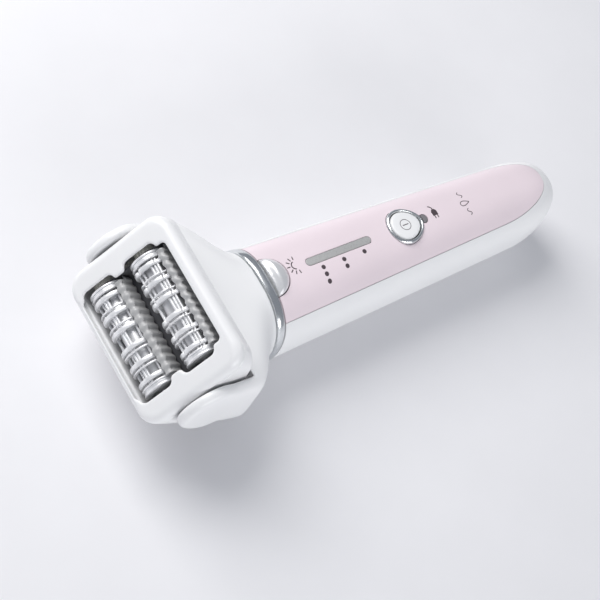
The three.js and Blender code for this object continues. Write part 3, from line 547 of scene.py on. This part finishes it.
GEAR = surface("gear_plastic", (0.72, 0.71, 0.66), 0.42, spread=0.04, grain=1500, bump=0.08)
BOARD = surface("board_green", (0.03, 0.14, 0.06), 0.40, spread=0.20, grain=500, bump=0.20, Coat_Weight=0.4)
CELL = surface("cell_wrap", (0.05, 0.12, 0.34), 0.32, spread=0.08, grain=300, bump=0.05, Coat_Weight=0.3)
RUBBER = surface("seal_rubber", (0.03, 0.03, 0.03), 0.75, spread=0.12, grain=1200, bump=0.25)
BRASS = surface("brass", (0.72, 0.52, 0.24), 0.26, metallic=1.0, spread=0.06, grain=1100, bump=0.06)
INK = surface("printed_ink", (0.075, 0.055, 0.065), 0.55, spread=0.08, grain=1600, bump=0.05)

SLOT_MATERIALS = {
    "white_plastic": WHITE, "pink_panel": PINK, "chrome_trim": CHROME, "frosted_lens": PEARL,
    "window_grey": WINDOW_GREY, "smoked_lens": SMOKED, "comb_grey": COMB, "dark_plastic": DARK,
    "gear_plastic": GEAR, "board_green": BOARD, "cell_wrap": CELL, "seal_rubber": RUBBER,
    "steel": STEEL, "brass_parts": BRASS,
}
for entry in frame["record"]["subparts"]:
    node = frame["nodes"][entry["node"]]
    node.data.materials.clear()
    node.data.materials.append(SLOT_MATERIALS[entry["material_slot"]])

# ---------------------------------------------------------------- handle casing


def rear_shell():
    """The casing, less its inside, the panel's place and the mouths of the socket and the release."""
    shell = new_object("rear_casing", *handle_body(0, SHELL_FRONT))
    fix_normals(shell)
    socket_mouth = prism(rounded_rectangle(TAIL_START, TAIL_END + 4.7, -4.6, 4.6, 1.2), -0.8, 4.8)
    release_mouth = prism(rounded_rectangle(RELEASE_X - 4.1, RELEASE_X + 4.1, -4.3, 4.3, 2), -30, -8)
    panel = prism(panel_outline(PANEL_GAP, -5), 5, ABOVE_PANEL)
    cut(shell, [handle_body(WALL, INSIDE_FRONT), panel, socket_mouth, release_mouth])
    dress(shell, WHITE, "handle", ["rear_shell"])


def front_panel():
    """The pink panel, cut from the casing's own surface, with a mouth for each control."""
    panel = new_object("front_fascia", *handle_body(0, SHELL_FRONT))
    fix_normals(panel)
    cut(panel, [prism(panel_outline(-PANEL_GAP, SHELL_FRONT), 8, ABOVE_PANEL)], "INTERSECT")
    left, right, width = WINDOW
    half = (width + 0.3) / 2
    window = rounded_rectangle(left - 0.15, right + 0.15, -half, half, half - 0.01)
    mouths = [
        circle(LENS_RADIUS + 0.3, 96, (SHELL_FRONT, 0)),
        window,
        egg(BEZEL_RADIUS + 0.15),
        circle(LAMP_RADIUS + 0.25, 48, (LAMP_X, 0)),
    ]
    cut(panel, [handle_body(PANEL_WALL, INSIDE_FRONT), *[prism(m, 5, ABOVE_PANEL) for m in mouths]])
    dress(panel, PINK, "handle", ["front_panel"])


def neck_ring():
    profile = [(0.0, 2.4), (0.0, 0.45), (0.12, 0.1), (0.35, -0.1), (0.7, -0.2), (1.2, -0.25), (2.0, -0.25),
               (2.5, -0.2), (2.85, -0.1), (3.1, 0.1), (3.2, 0.45), (3.2, 2.4)]
    ring = new_object("collar_ring", *around_handle(profile))
    dress(ring, CHROME, "handle", ["neck_ring"], angle=50)


def light_lens():
    """A half dome whose flat side stands against the ring."""
    rows, columns = 22, 49
    points = []
    for i in range(rows):
        r = math.sin(i / (rows - 1) * math.pi / 2)
        for t in np.linspace(-math.pi / 2, math.pi / 2, columns):
            away = LENS_RADIUS * r * math.cos(t)
            slope = 0.55 + 0.45 * float(smooth(away / 2.6))
            rise = LENS_RISE * math.sqrt(max(0.0, 1 - r**2.05)) * slope
            points.append((SHELL_FRONT + away, LENS_RADIUS * r * math.sin(t), LENS_EDGE + rise))
    foot = len(points)
    points += [(x, y, LENS_FOOT) for x, y, _ in points[-columns:]]
    faces = grid_faces(rows, columns, close_columns=False)
    last = (rows - 1) * columns
    faces += [(last + j, last + j + 1, foot + j + 1, foot + j) for j in range(columns - 1)]
    faces.append(tuple(foot + j for j in reversed(range(columns))))
    left = [i * columns for i in reversed(range(rows))]
    right = [i * columns + columns - 1 for i in range(1, rows)]
    faces.append((*left, *right, foot + columns - 1, foot))
    lens = new_object("lamp_lens", points, faces)
    dress(lens, PEARL, "handle", ["light_lens"], angle=45)


def speed_bar():
    left, right, width = WINDOW
    half = width / 2
    outline = rounded_rectangle(left, right, -half, half, half - 0.01, 14)
    bar = new_object("speed_bar", *prism(outline, 18.0, TOP_HEIGHT + 0.12, 0.3))
    dress(bar, WINDOW_GREY, "handle", ["speed_window"])


def button_surround():
    rim = [(0.0, -2), (0.0, -0.15), (0.08, 0.1), (0.3, 0.38), (0.6, 0.55), (0.8, 0.56), (0.95, 0.46),
           (1.08, 0.25), (1.15, 0.0), (1.18, -2)]
    rim = [(inwards, TOP_HEIGHT + height) for inwards, height in rim]
    bezel = new_object("button_surround", *swept(egg(BEZEL_RADIUS), rim))
    dress(bezel, CHROME, "handle", ["button_bezel"], angle=50)


def power_button():
    outline = egg(BUTTON_RADIUS, -0.05)
    centre = outline.mean(axis=0)
    profile = [(1.0, -1.3), (1.0, 0.1), (0.985, 0.35), (0.95, 0.55), (0.89, 0.68), (0.8, 0.76), (0.6, 0.80),
               (0.4, 0.80), (0.2, 0.79), (0.05, 0.79)]
    rings = []
    for factor, height in profile:
        flat = centre + (outline - centre) * factor
        rings.append(np.column_stack([flat, np.full(len(flat), TOP_HEIGHT + height)]))
    stem = prism(circle(2, 40, (BUTTON_X, 0)), TOP_HEIGHT - 3.2, TOP_HEIGHT - 1.35)
    button = new_object("power_cap", *merged([stack(rings), stem]))
    dress(button, WHITE, "power_button", ["power_button"])

    low, high = TOP_HEIGHT + 0.78, TOP_HEIGHT + 0.83
    ring = swept(circle(2.15, 64, (BUTTON_X - 0.1, 0)), [(0, low), (0, high), (0.2, high), (0.2, low)])
    line = prism(rounded_rectangle(BUTTON_X - 1.4, BUTTON_X + 1.2, -0.15, 0.15, 0.14, 5), low, high)
    dress(new_object("power_mark", *merged([ring, line])), INK, "power_button")


def charge_lamp():
    body = dome_disc((LAMP_X, 0), LAMP_RADIUS, TOP_HEIGHT - 1.9, TOP_HEIGHT - 0.1, 0.35)
    lamp = new_object("charge_lamp", *body)
    cut(lamp, [prism(egg(BEZEL_RADIUS + 0.2), 5, ABOVE_PANEL)])
    dress(lamp, SMOKED, "handle", ["charge_lamp_lens"], angle=45)


def release_pad():
    """The head release on the back: a ribbed pad on a flange that holds it in, and a post on the spring."""
    z = BACK_FLAT
    pad = prism(rounded_rectangle(RELEASE_X - 3.8, RELEASE_X + 3.8, -4, 4, 1.9), z + 0.5, z + 3.2)
    flange = prism(rounded_rectangle(RELEASE_X - 4.7, RELEASE_X + 4.7, -4.9, 4.9, 2.4), z + 2.8, z + 3.6)
    post = prism(circle(1.4, 32, (RELEASE_X, 0)), z + 3.5, z + 5.2)
    ribs = []
    for d in (-2, -1, 0, 1, 2):
        outline = rounded_rectangle(RELEASE_X + d - 0.3, RELEASE_X + d + 0.3, -2.8, 2.8, 0.29, 6)
        ribs.append(prism(outline, z + 0.3, z + 0.6))
    obj = new_object("release_pad", *merged([pad, flange, post, *ribs]))
    dress(obj, WHITE, "release_button", ["release_button"])


# ---------------------------------------------------------------- printed marks on the panel


def print_mark(outline):
    """A closed [x, y] outline printed on the panel, as a thin body sunk into its surface."""
    outline = np.asarray(outline, float)
    z = panel_top(outline[:, 0], outline[:, 1])
    return stack([np.column_stack([outline, z - INK_DEPTH]), np.column_stack([outline, z + INK_LIFT])])


def stroke(start, end, width):
    """Outline of a straight line with round ends."""
    start, end = np.asarray(start, float), np.asarray(end, float)
    turn = math.atan2(*(end - start)[::-1])
    half = width / 2
    points = []
    for centre, first in ((end, -math.pi / 2), (start, math.pi / 2)):
        for t in np.linspace(first, first + math.pi, 7):
            points.append(centre + half * np.array([math.cos(turn + t), math.sin(turn + t)]))
    return np.array(points)


def path_mark(points, width):
    """Outline of a bent line of even width."""
    points = np.asarray(points, float)
    along = np.gradient(points, axis=0)
    side = np.column_stack([-along[:, 1], along[:, 0]]) / np.linalg.norm(along, axis=1, keepdims=True)
    return np.concatenate([points - side * width / 2, (points + side * width / 2)[::-1]])


def arc(centre, radius, first, last):
    t = np.radians(np.linspace(first, last, 24))
    return np.column_stack([centre[0] + radius * np.cos(t), centre[1] + radius * np.sin(t)])


def sun_marks(centre):
    """A half ring with rays."""
    marks = [path_mark(arc(centre, 1.4, 100, 260), 0.38)]
    for angle in (80, 112, 144, 180, 216, 248, 280):
        away = np.array([math.cos(math.radians(angle)), math.sin(math.radians(angle))])
        marks.append(stroke(centre + away * 2.2, centre + away * 3.2, 0.36))
    return marks


def dot_marks():
    """One, two and three dots beside the speed display."""
    rows = ((41.4, 1), (32.6, 2), (23.8, 3))
    return [circle(0.8, 28, (x, -3.4 - 2.5 * i)) for x, dots in rows for i in range(dots)]


def plug_marks(centre):
    """A plug: its body, two pins and a lead."""
    body = [(1.1, -1.3), (1.2, 0.3), (0.6, 1.2), (-0.6, 1.2), (-1.2, 0.3), (-1.1, -1.3)]
    lead = [(0, 1.2), (-0.1, 1.9), (-0.5, 2.4), (-1.1, 2.9)]
    marks = [centre + np.array(body)]
    marks += [stroke(centre + (x, -2.3), centre + (x, -1.4), 0.36) for x in (-0.6, 0.6)]
    marks.append(path_mark(centre + np.array(lead), 0.4))
    return marks


def droplet_marks(x):
    """A droplet between two waves."""
    drop = []
    for t in np.linspace(0, 2 * math.pi, 48):
        drop.append((x + 2.0 * math.cos(t), 1.3 * math.sin(t) * math.sin(t / 2) ** 1.3))
    marks = [path_mark(np.array(drop)[2:-2], 0.26)]
    for shift in (-3.6, 3.6):
        wave = [(x + 0.7 * math.sin(s * 2.4), shift + (s - 1.3)) for s in np.linspace(0, 2.6, 26)]
        marks.append(path_mark(wave, 0.26))
    return marks


def panel_marks():
    marks = sun_marks((14.5, 0.7)) + dot_marks() + plug_marks(np.array([75.9, 0.9])) + droplet_marks(90)
    obj = new_object("panel_print", *merged([print_mark(m) for m in marks]))
    dress(obj, INK, "handle")


# ---------------------------------------------------------------- neck and head casing


def yoke_field(x, y, z):
    """The neck that flares into two arms, less the head's bay, the neck's hollow and the bores."""
    px, _, pz = PIVOT
    along = np.clip(x / ARM_X, 0, 1)
    flare = smooth(-x / NECK_LENGTH)
    half = FRONT_HALF_WIDTH + (ARM_OUTER_Y - FRONT_HALF_WIDTH) * flare
    middle = ARM_Z * smooth(along)
    above = smooth(along**0.85)
    below = along**1.6
    top = TOP_HEIGHT * (1 - above) + (ARM_Z + ARM_RADIUS) * above
    bottom = BACK_FLAT * (1 - below) + (ARM_Z - ARM_LOWER_REACH) * below
    power = SQUARENESS + (ARM_SQUARENESS - SQUARENESS) * flare
    reach = np.where(z > middle, top - middle, middle - bottom)
    size = (np.abs(y) / half) ** power + (np.abs(z - middle) / reach) ** power
    neck = (size ** (1 / power) - 1) * np.minimum(half, reach) * 0.9

    dx, dz = x - ARM_X, z - ARM_Z
    lower = np.where(dz < 0, DISC_LOWER_REACH, ARM_RADIUS)
    disc = (np.hypot(dx / ARM_RADIUS, dz / lower) - 1) * ARM_RADIUS
    slant = -0.566 * (x - HEEL[0]) - 0.825 * (z - HEEL[1])
    disc = soft_max(disc, slant, 5.0)
    outer = np.abs(y) - (ARM_OUTER_Y - 0.5 * (dx**2 + dz**2) / ARM_RADIUS**2)
    arm = rounded_corner(disc, outer, ARM_EDGE)
    blend = smooth((ARM_X + ARM_BLEND - x) / ARM_BLEND)
    body = neck * (1 - blend) + arm * blend
    body = np.maximum(body, x + 0.3)

    reach = np.hypot(x - px, z - pz)
    side = np.abs(y) - ARM_INNER_Y
    bay = soft_min(reach - BAY_RADIUS, rounded_corner(x - BAY_END, side, BAY_CORNER), 2.0)
    body = soft_max(body, -np.maximum(side, bay), 1.3)

    spigot = np.maximum(handle_distance(x, y, z, NECK_WALL[0]), np.maximum(SPIGOT[0] - x, x - SPIGOT[1]))
    body = np.minimum(body, spigot)
    hollow = np.maximum(handle_distance(x, y, z, NECK_WALL[1]), HOLLOW_FRONT - x)
    body = np.maximum(body, -hollow)
    shaft = np.maximum(np.hypot(y, z - pz) - SHAFT_BORE, x)
    body = np.maximum(body, -shaft)
    pins = np.maximum(reach - PIN_BORE, np.abs(y) - PIN_END)
    return np.maximum(body, -pins)


def handle_distance(x, y, z, inset):
    """Rough signed distance to the handle's section, drawn in by inset."""
    half = FRONT_HALF_WIDTH - WIDTH_TAPER * x - inset
    reach = np.where(z > 0, TOP_HEIGHT, BOTTOM_DEPTH) - inset
    size = ((np.abs(y) / half) ** SQUARENESS + (np.abs(z) / reach) ** SQUARENESS) ** (1 / SQUARENESS)
    return np.maximum((size - 1) * np.minimum(half, reach) * 0.9, BACK_FLAT + inset - z)


def plan_outline(a, y, inset):
    """Signed distance to the head's outline as seen from its face, drawn in by inset."""
    half = HEAD_HALF_WIDTH - inset
    return rectangle(a, y, FACE[0] + inset, FACE[1] - inset, -half, half, HEAD_CORNER - inset / 2)


def frame_field(a, y, n):
    """The frame round the drums: a plate with a rim, an opening with a bay for each drum, and a slot."""
    body = rounded_corner(plan_outline(a, y, 0), n - FACE_Z, FRAME_EDGE)
    body = np.maximum(body, BASE_TOP + 0.3 - n)
    hollow = np.maximum(plan_outline(a, y, FRAME_WALL), n - (FACE_Z - 1.5))
    body = np.maximum(body, -hollow)
    half = OPENING_HALF_WIDTH
    mouth = rectangle(a, y, OPENING[0], OPENING[1], -half, half, 1.4)
    depth, width = DRUM_BAY
    for centre in DRUM_X.values():
        bay = rectangle(a, y, centre - depth, centre + depth, -width, width, 2.2)
        mouth = soft_min(mouth, bay, 1.0)
    body = soft_max(body, -mouth, 0.9)
    left, right, half = FRAME_SLOT
    slot = np.maximum(rectangle(a, y, left, right, -half, half, 0.2), FACE_Z - 0.9 - n)
    return soft_max(body, -slot, 0.2)


def base_corners(inset, top):
    """Side outline of the head base: a wide mouth on a round back that is centred on the pivot."""
    radius = BACK_RADIUS - inset
    points = [(FACE[1] - inset, top), (FACE[0] + inset, top), (FACE[0] + 0.9 + inset, 4 + inset / 2)]
    for t in np.radians(np.linspace(190, 340, 40)):
        points.append((radius * math.cos(t), radius * math.sin(t)))
    points.append((FACE[1] - 1.0 - inset, 5 + inset / 2))
    return points


def base_field(a, y, n):
    """The head's shell: an open box on a round back, less the shaft's slot and the pins' bore."""
    outer = polygon(a, n, base_corners(0, BASE_TOP))
    body = rounded_corner(outer, plan_outline(a, y, 0), 0.8)
    inner = polygon(a, n, base_corners(BASE_WALL, BASE_TOP + 6))
    body = np.maximum(body, -np.maximum(inner, plan_outline(a, y, BASE_WALL)))
    slot = np.maximum(rectangle(a, y, -14, 14, -3.4, 3.4, 1.0), n + 5)
    body = np.maximum(body, -slot)
    return np.maximum(body, -(np.hypot(a, n) - PIN_BORE))


def comb_field(left, right, centre, slant):
    """A comb: an upright plate under a lip whose beads run along the drum."""
    middle, half = (left + right) / 2, (right - left) / 2

    def field(a, y, n):
        turn = 2 * math.pi * (y + slant * (a - middle)) / COMB_PITCH
        bead = 0.5 + 0.5 * np.cos(turn)
        lip = np.hypot((a - middle) / (half - 0.05), (n - FACE_Z + 1.75) / 1.25) - (0.68 + 0.32 * bead)
        lip = np.maximum(lip * 1.2, np.abs(y) - COMB_HALF_LENGTH)
        stem = np.maximum(right - 1 - a, a - right + 0.05 + 0.6 * (1 - bead))
        stem = np.maximum(stem, np.maximum(COMB_BOTTOM - n, n - FACE_Z + 2.2 + 0.5 * (1 - bead)))
        half_length = np.where(n > BASE_TOP - 0.6, COMB_HALF_LENGTH, COMB_ROOT_HALF_LENGTH)
        stem = np.maximum(stem, np.abs(y) - half_length)
        body = soft_min(stem, lip, 0.4)
        return soft_max(body, DRUM_RADIUS + 0.45 - np.hypot(a - centre, n - DRUM_Z), 0.3)

    return field


def head_skin(name, field, low, high, step):
    """The object of a field that is given in the head's frame."""
    points, faces = skin(field, low, high, step)
    return new_object(name, head_place(points), faces)


def casings():
    low, high = (ARM_X - ARM_RADIUS, -ARM_OUTER_Y, BACK_FLAT), (SPIGOT[1], ARM_OUTER_Y, ARM_Z + 12)
    yoke = new_object("yoke_shell", *skin(yoke_field, low, high, 0.5))
    dress(yoke, WHITE, "yoke", ["yoke_housing"], angle=50)

    low, high = (FACE[0], -HEAD_HALF_WIDTH, BASE_TOP), (FACE[1], HEAD_HALF_WIDTH, FACE_Z)
    plate = head_skin("skin_plate", frame_field, low, high, 0.25)
    dress(plate, WHITE, "skin_cap", ["skin_frame"], angle=50)

    low, high = (FACE[0], -HEAD_HALF_WIDTH, -BACK_RADIUS), (FACE[1], HEAD_HALF_WIDTH, BASE_TOP)
    shell = head_skin("head_shell", base_field, low, high, 0.4)
    dress(shell, WHITE, "head", ["head_base"], angle=50)

    for name, left, right, slant in (("front", -4.2, -0.5, 0.0), ("rear", 13.6, 16.8, 0.55)):
        field = comb_field(left, right, DRUM_X[name], slant)
        low = (left - 0.2, -COMB_ROOT_HALF_LENGTH, COMB_BOTTOM)
        high = (right, COMB_ROOT_HALF_LENGTH, FACE_Z)
        comb = head_skin(f"{name}_comb_plate", field, low, high, 0.2)
        dress(comb, COMB, "head", [f"{name}_comb"], angle=50)


# ---------------------------------------------------------------- tweezer drums


def lobed(t, radius, phase):
    """Radius of a tweezer ring at the angles t, which drops to VALLEY between its lobes."""
    turn = ((t - phase) * LOBES / (2 * math.pi)) % 1
    edge = np.minimum(np.abs(turn - 0.5) * 2, 1)
    high = 1 - smooth((edge - 0.72) / 0.12)
    return VALLEY + (radius - VALLEY) * high


def hoop(outer, inner, low, high, bevel, phase=None, sides=120):
    """A ring about the drum's axis, from low to high along it, with rounded outer edges.

    With a phase, its rim is lobed.
    """
    t = turns(sides)
    rim = np.full(sides, outer) if phase is None else lobed(t, outer, phase)
    profile = [(None, low), (bevel, low), (bevel * 0.3, low + bevel * 0.3), (0, low + bevel)]
    profile += [(0, high - bevel), (bevel * 0.3, high - bevel * 0.3), (bevel, high), (None, high)]
    rings = []
    for drop, along in profile:
        radius = np.full(sides, inner) if drop is None else rim - drop
        rings.append(np.column_stack([radius * np.cos(t), np.full(sides, along), radius * np.sin(t)]))
    return np.concatenate(rings), grid_faces(len(profile), sides, close_rows=True)


def rod(radius, distance, angle, low, high):
    """A round bar beside the drum's axis, from low to high along it."""
    t = turns(12)
    x = distance * math.cos(angle) + radius * np.cos(t)
    z = distance * math.sin(angle) + radius * np.sin(t)
    return stack([np.column_stack([x, np.full(len(t), y), z]) for y in (low, high)])


def sector(inner, outer, middle, half, low, high):
    """A spoke that joins the hub to a ring."""
    t = np.linspace(middle - half, middle + half, 9)
    rings = []
    for y in (low, high):
        arc_in = np.column_stack([inner * np.cos(t), np.full(len(t), y), inner * np.sin(t)])
        arc_out = np.column_stack([outer * np.cos(t), np.full(len(t), y), outer * np.sin(t)])[::-1]
        rings.append(np.concatenate([arc_in, arc_out]))
    return stack(rings)


def off_bars(angle):
    """Angle from the nearest blade bar."""
    return min(abs((angle - bar + math.pi) % (2 * math.pi) - math.pi) for bar in BAR_ANGLES)


def drum_rings(phase):
    """The end flanges and the fixed tweezer rings, with the spokes that carry them."""
    parts = []
    for end in (-1, 1):
        low, high = sorted((end * 18.75, end * 18.0))
        parts.append(hoop(6.4, 1.4, low, high, 0.22))
        low, high = sorted((end * 17.95, end * PILLAR_END))
        parts.append(hoop(6.1, 5.6, low, high, 0.12))
        parts += [sector(SPOKE_FOOT, 5.7, bar + math.pi / 3, 0.2, low, high) for bar in BAR_ANGLES]
    for station in STATIONS:
        low, high = station - RING_HALF, station + RING_HALF
        parts.append(hoop(DRUM_RADIUS, RING_BORE, low, high, 0.3, phase))
        parts += [sector(SPOKE_FOOT, 5.6, bar + math.pi / 3, 0.3, low, high) for bar in BAR_ANGLES]
    return parts


def drum_pillars(phase):
    """Three rods under each lobe from ring to ring, left out where a blade bar runs."""
    parts = []
    edges = [-PILLAR_END, *STATIONS, PILLAR_END]
    for low, high in zip(edges, edges[1:]):
        for lobe in range(LOBES):
            for k in (-1, 0, 1):
                angle = -(phase + (lobe + 0.5 + 0.17 * k) * 2 * math.pi / LOBES)
                if min(off_bars(-angle), off_bars(angle)) * 4.9 > 1.15:
                    parts.append(rod(0.5, PILLAR_DISTANCE, angle, low + 0.3, high - 0.3))
    return parts


def blades(side, phase):
    """The sliding blades of one side, on three bars."""
    parts = []
    for station in STATIONS[3:]:
        low, high = sorted(side * (station + offset) for offset in BLADE_OFFSET)
        parts.append(hoop(BLADE_RADIUS, BLADE_BORE, low, high, 0.12, phase))
        parts += [sector(4.3, 5.7, bar, 0.12, low, high) for bar in BAR_ANGLES]
    low, high = sorted(side * end for end in BAR_SPAN)
    return parts + [rod(0.42, BAR_DISTANCE, bar, low, high) for bar in BAR_ANGLES]


def drum_piece(drum_name, label, parts, material, body, replaced=()):
    """One piece of a drum, moved from the drum's axis to its place in the head."""
    points, faces = merged(parts)
    points = head_place(points + [DRUM_X[drum_name], 0, DRUM_Z])
    dress(new_object(f"{drum_name}_{label}", points, faces), material, body, replaced)


def drum(name, pillar_phase, ring_phase):
    body = f"{name}_drum"
    hub = [hoop(HUB_RADIUS, 1.25, -DRUM_HALF_LENGTH, DRUM_HALF_LENGTH, 0.1, sides=72)]
    drum_piece(name, "drum_hub", hub, STEEL, body, [body])
    drum_piece(name, "drum_rings", drum_rings(ring_phase), PALE_STEEL, body)
    drum_piece(name, "drum_pillars", drum_pillars(pillar_phase), PALE_STEEL, body)
    for side, label in ((1, "left"), (-1, "right")):
        body = f"{name}_blades_{label}"
        drum_piece(name, f"tweezers_{label}", blades(side, ring_phase), PALE_STEEL, body, [body])


# ---------------------------------------------------------------- stage


FLOOR_HALF = 3.0
FLOOR_DROP = 0.0002
FOCAL_LENGTH = 84.0


def area_light(name, location, target, size, energy, color=(1, 1, 1)):
    data = bpy.data.lights.new(name, "AREA")
    data.shape = "RECTANGLE"
    data.size, data.size_y = size
    data.energy = energy
    data.color = color
    light = bpy.data.objects.new(name, data)
    light.location = location
    light.rotation_mode = "QUATERNION"
    light.rotation_quaternion = (Vector(target) - Vector(location)).to_track_quat("-Z", "Y")
    bpy.context.scene.collection.objects.link(light)


def stage():
    half = FLOOR_HALF
    mesh = bpy.data.meshes.new("floor")
    corners = [(-half, -half, 0), (half, -half, 0), (half, half, 0), (-half, half, 0)]
    mesh.from_pydata(corners, [], [(0, 1, 2, 3)])
    floor = bpy.data.objects.new("floor", mesh)
    floor.location.z = -FLOOR_DROP
    bpy.context.scene.collection.objects.link(floor)
    paper = surface("floor_white", (0.865, 0.86, 0.88), 0.7, spread=0.01, grain=200, bump=0.02)
    mesh.materials.append(paper)

    world = bpy.data.worlds.new("studio")
    world.use_nodes = True
    background = world.node_tree.nodes["Background"]
    background.inputs["Color"].default_value = (0.82, 0.87, 0.97, 1)
    background.inputs["Strength"].default_value = 0.32
    bpy.context.scene.world = world
    middle = (0, 0, 0.02)
    area_light("key", (-0.18, 0.48, 0.56), middle, (0.55, 0.55), 5.0, (1.0, 0.99, 0.98))
    area_light("top", (-0.05, 0.35, 0.85), middle, (0.9, 0.6), 0.3)
    area_light("front", (-0.1, -1.3, 0.42), middle, (1.2, 0.4), 9.0)
    bpy.context.scene.view_settings.view_transform = "Standard"


def camera():
    """The camera, from its place and axes in the handle frame."""
    place = np.array([-225.92, -134.41, 391.23])
    right = (0.79694, -0.50042, 0.33834)
    up = (0.31564, 0.82253, 0.47308)
    back = (-0.51503, -0.27022, 0.81346)
    data = bpy.data.cameras.new("view")
    data.lens = FOCAL_LENGTH
    data.sensor_width = 36
    data.clip_start = 0.01
    data.clip_end = 10
    cam = bpy.data.objects.new("view", data)
    turn = Matrix((right, up, back)).transposed().to_4x4()
    cam.matrix_world = Matrix.Translation(Vector((place + OFFSET) / 1000)) @ turn
    bpy.context.scene.collection.objects.link(cam)
    bpy.context.scene.camera = cam


camera()
stage()
rear_shell()
front_panel()
neck_ring()
light_lens()
speed_bar()
button_surround()
power_button()
charge_lamp()
release_pad()
panel_marks()
casings()
drum("front", 0.15, None)
drum("rear", 0.85, 0.85)

bpy.context.view_layer.update()
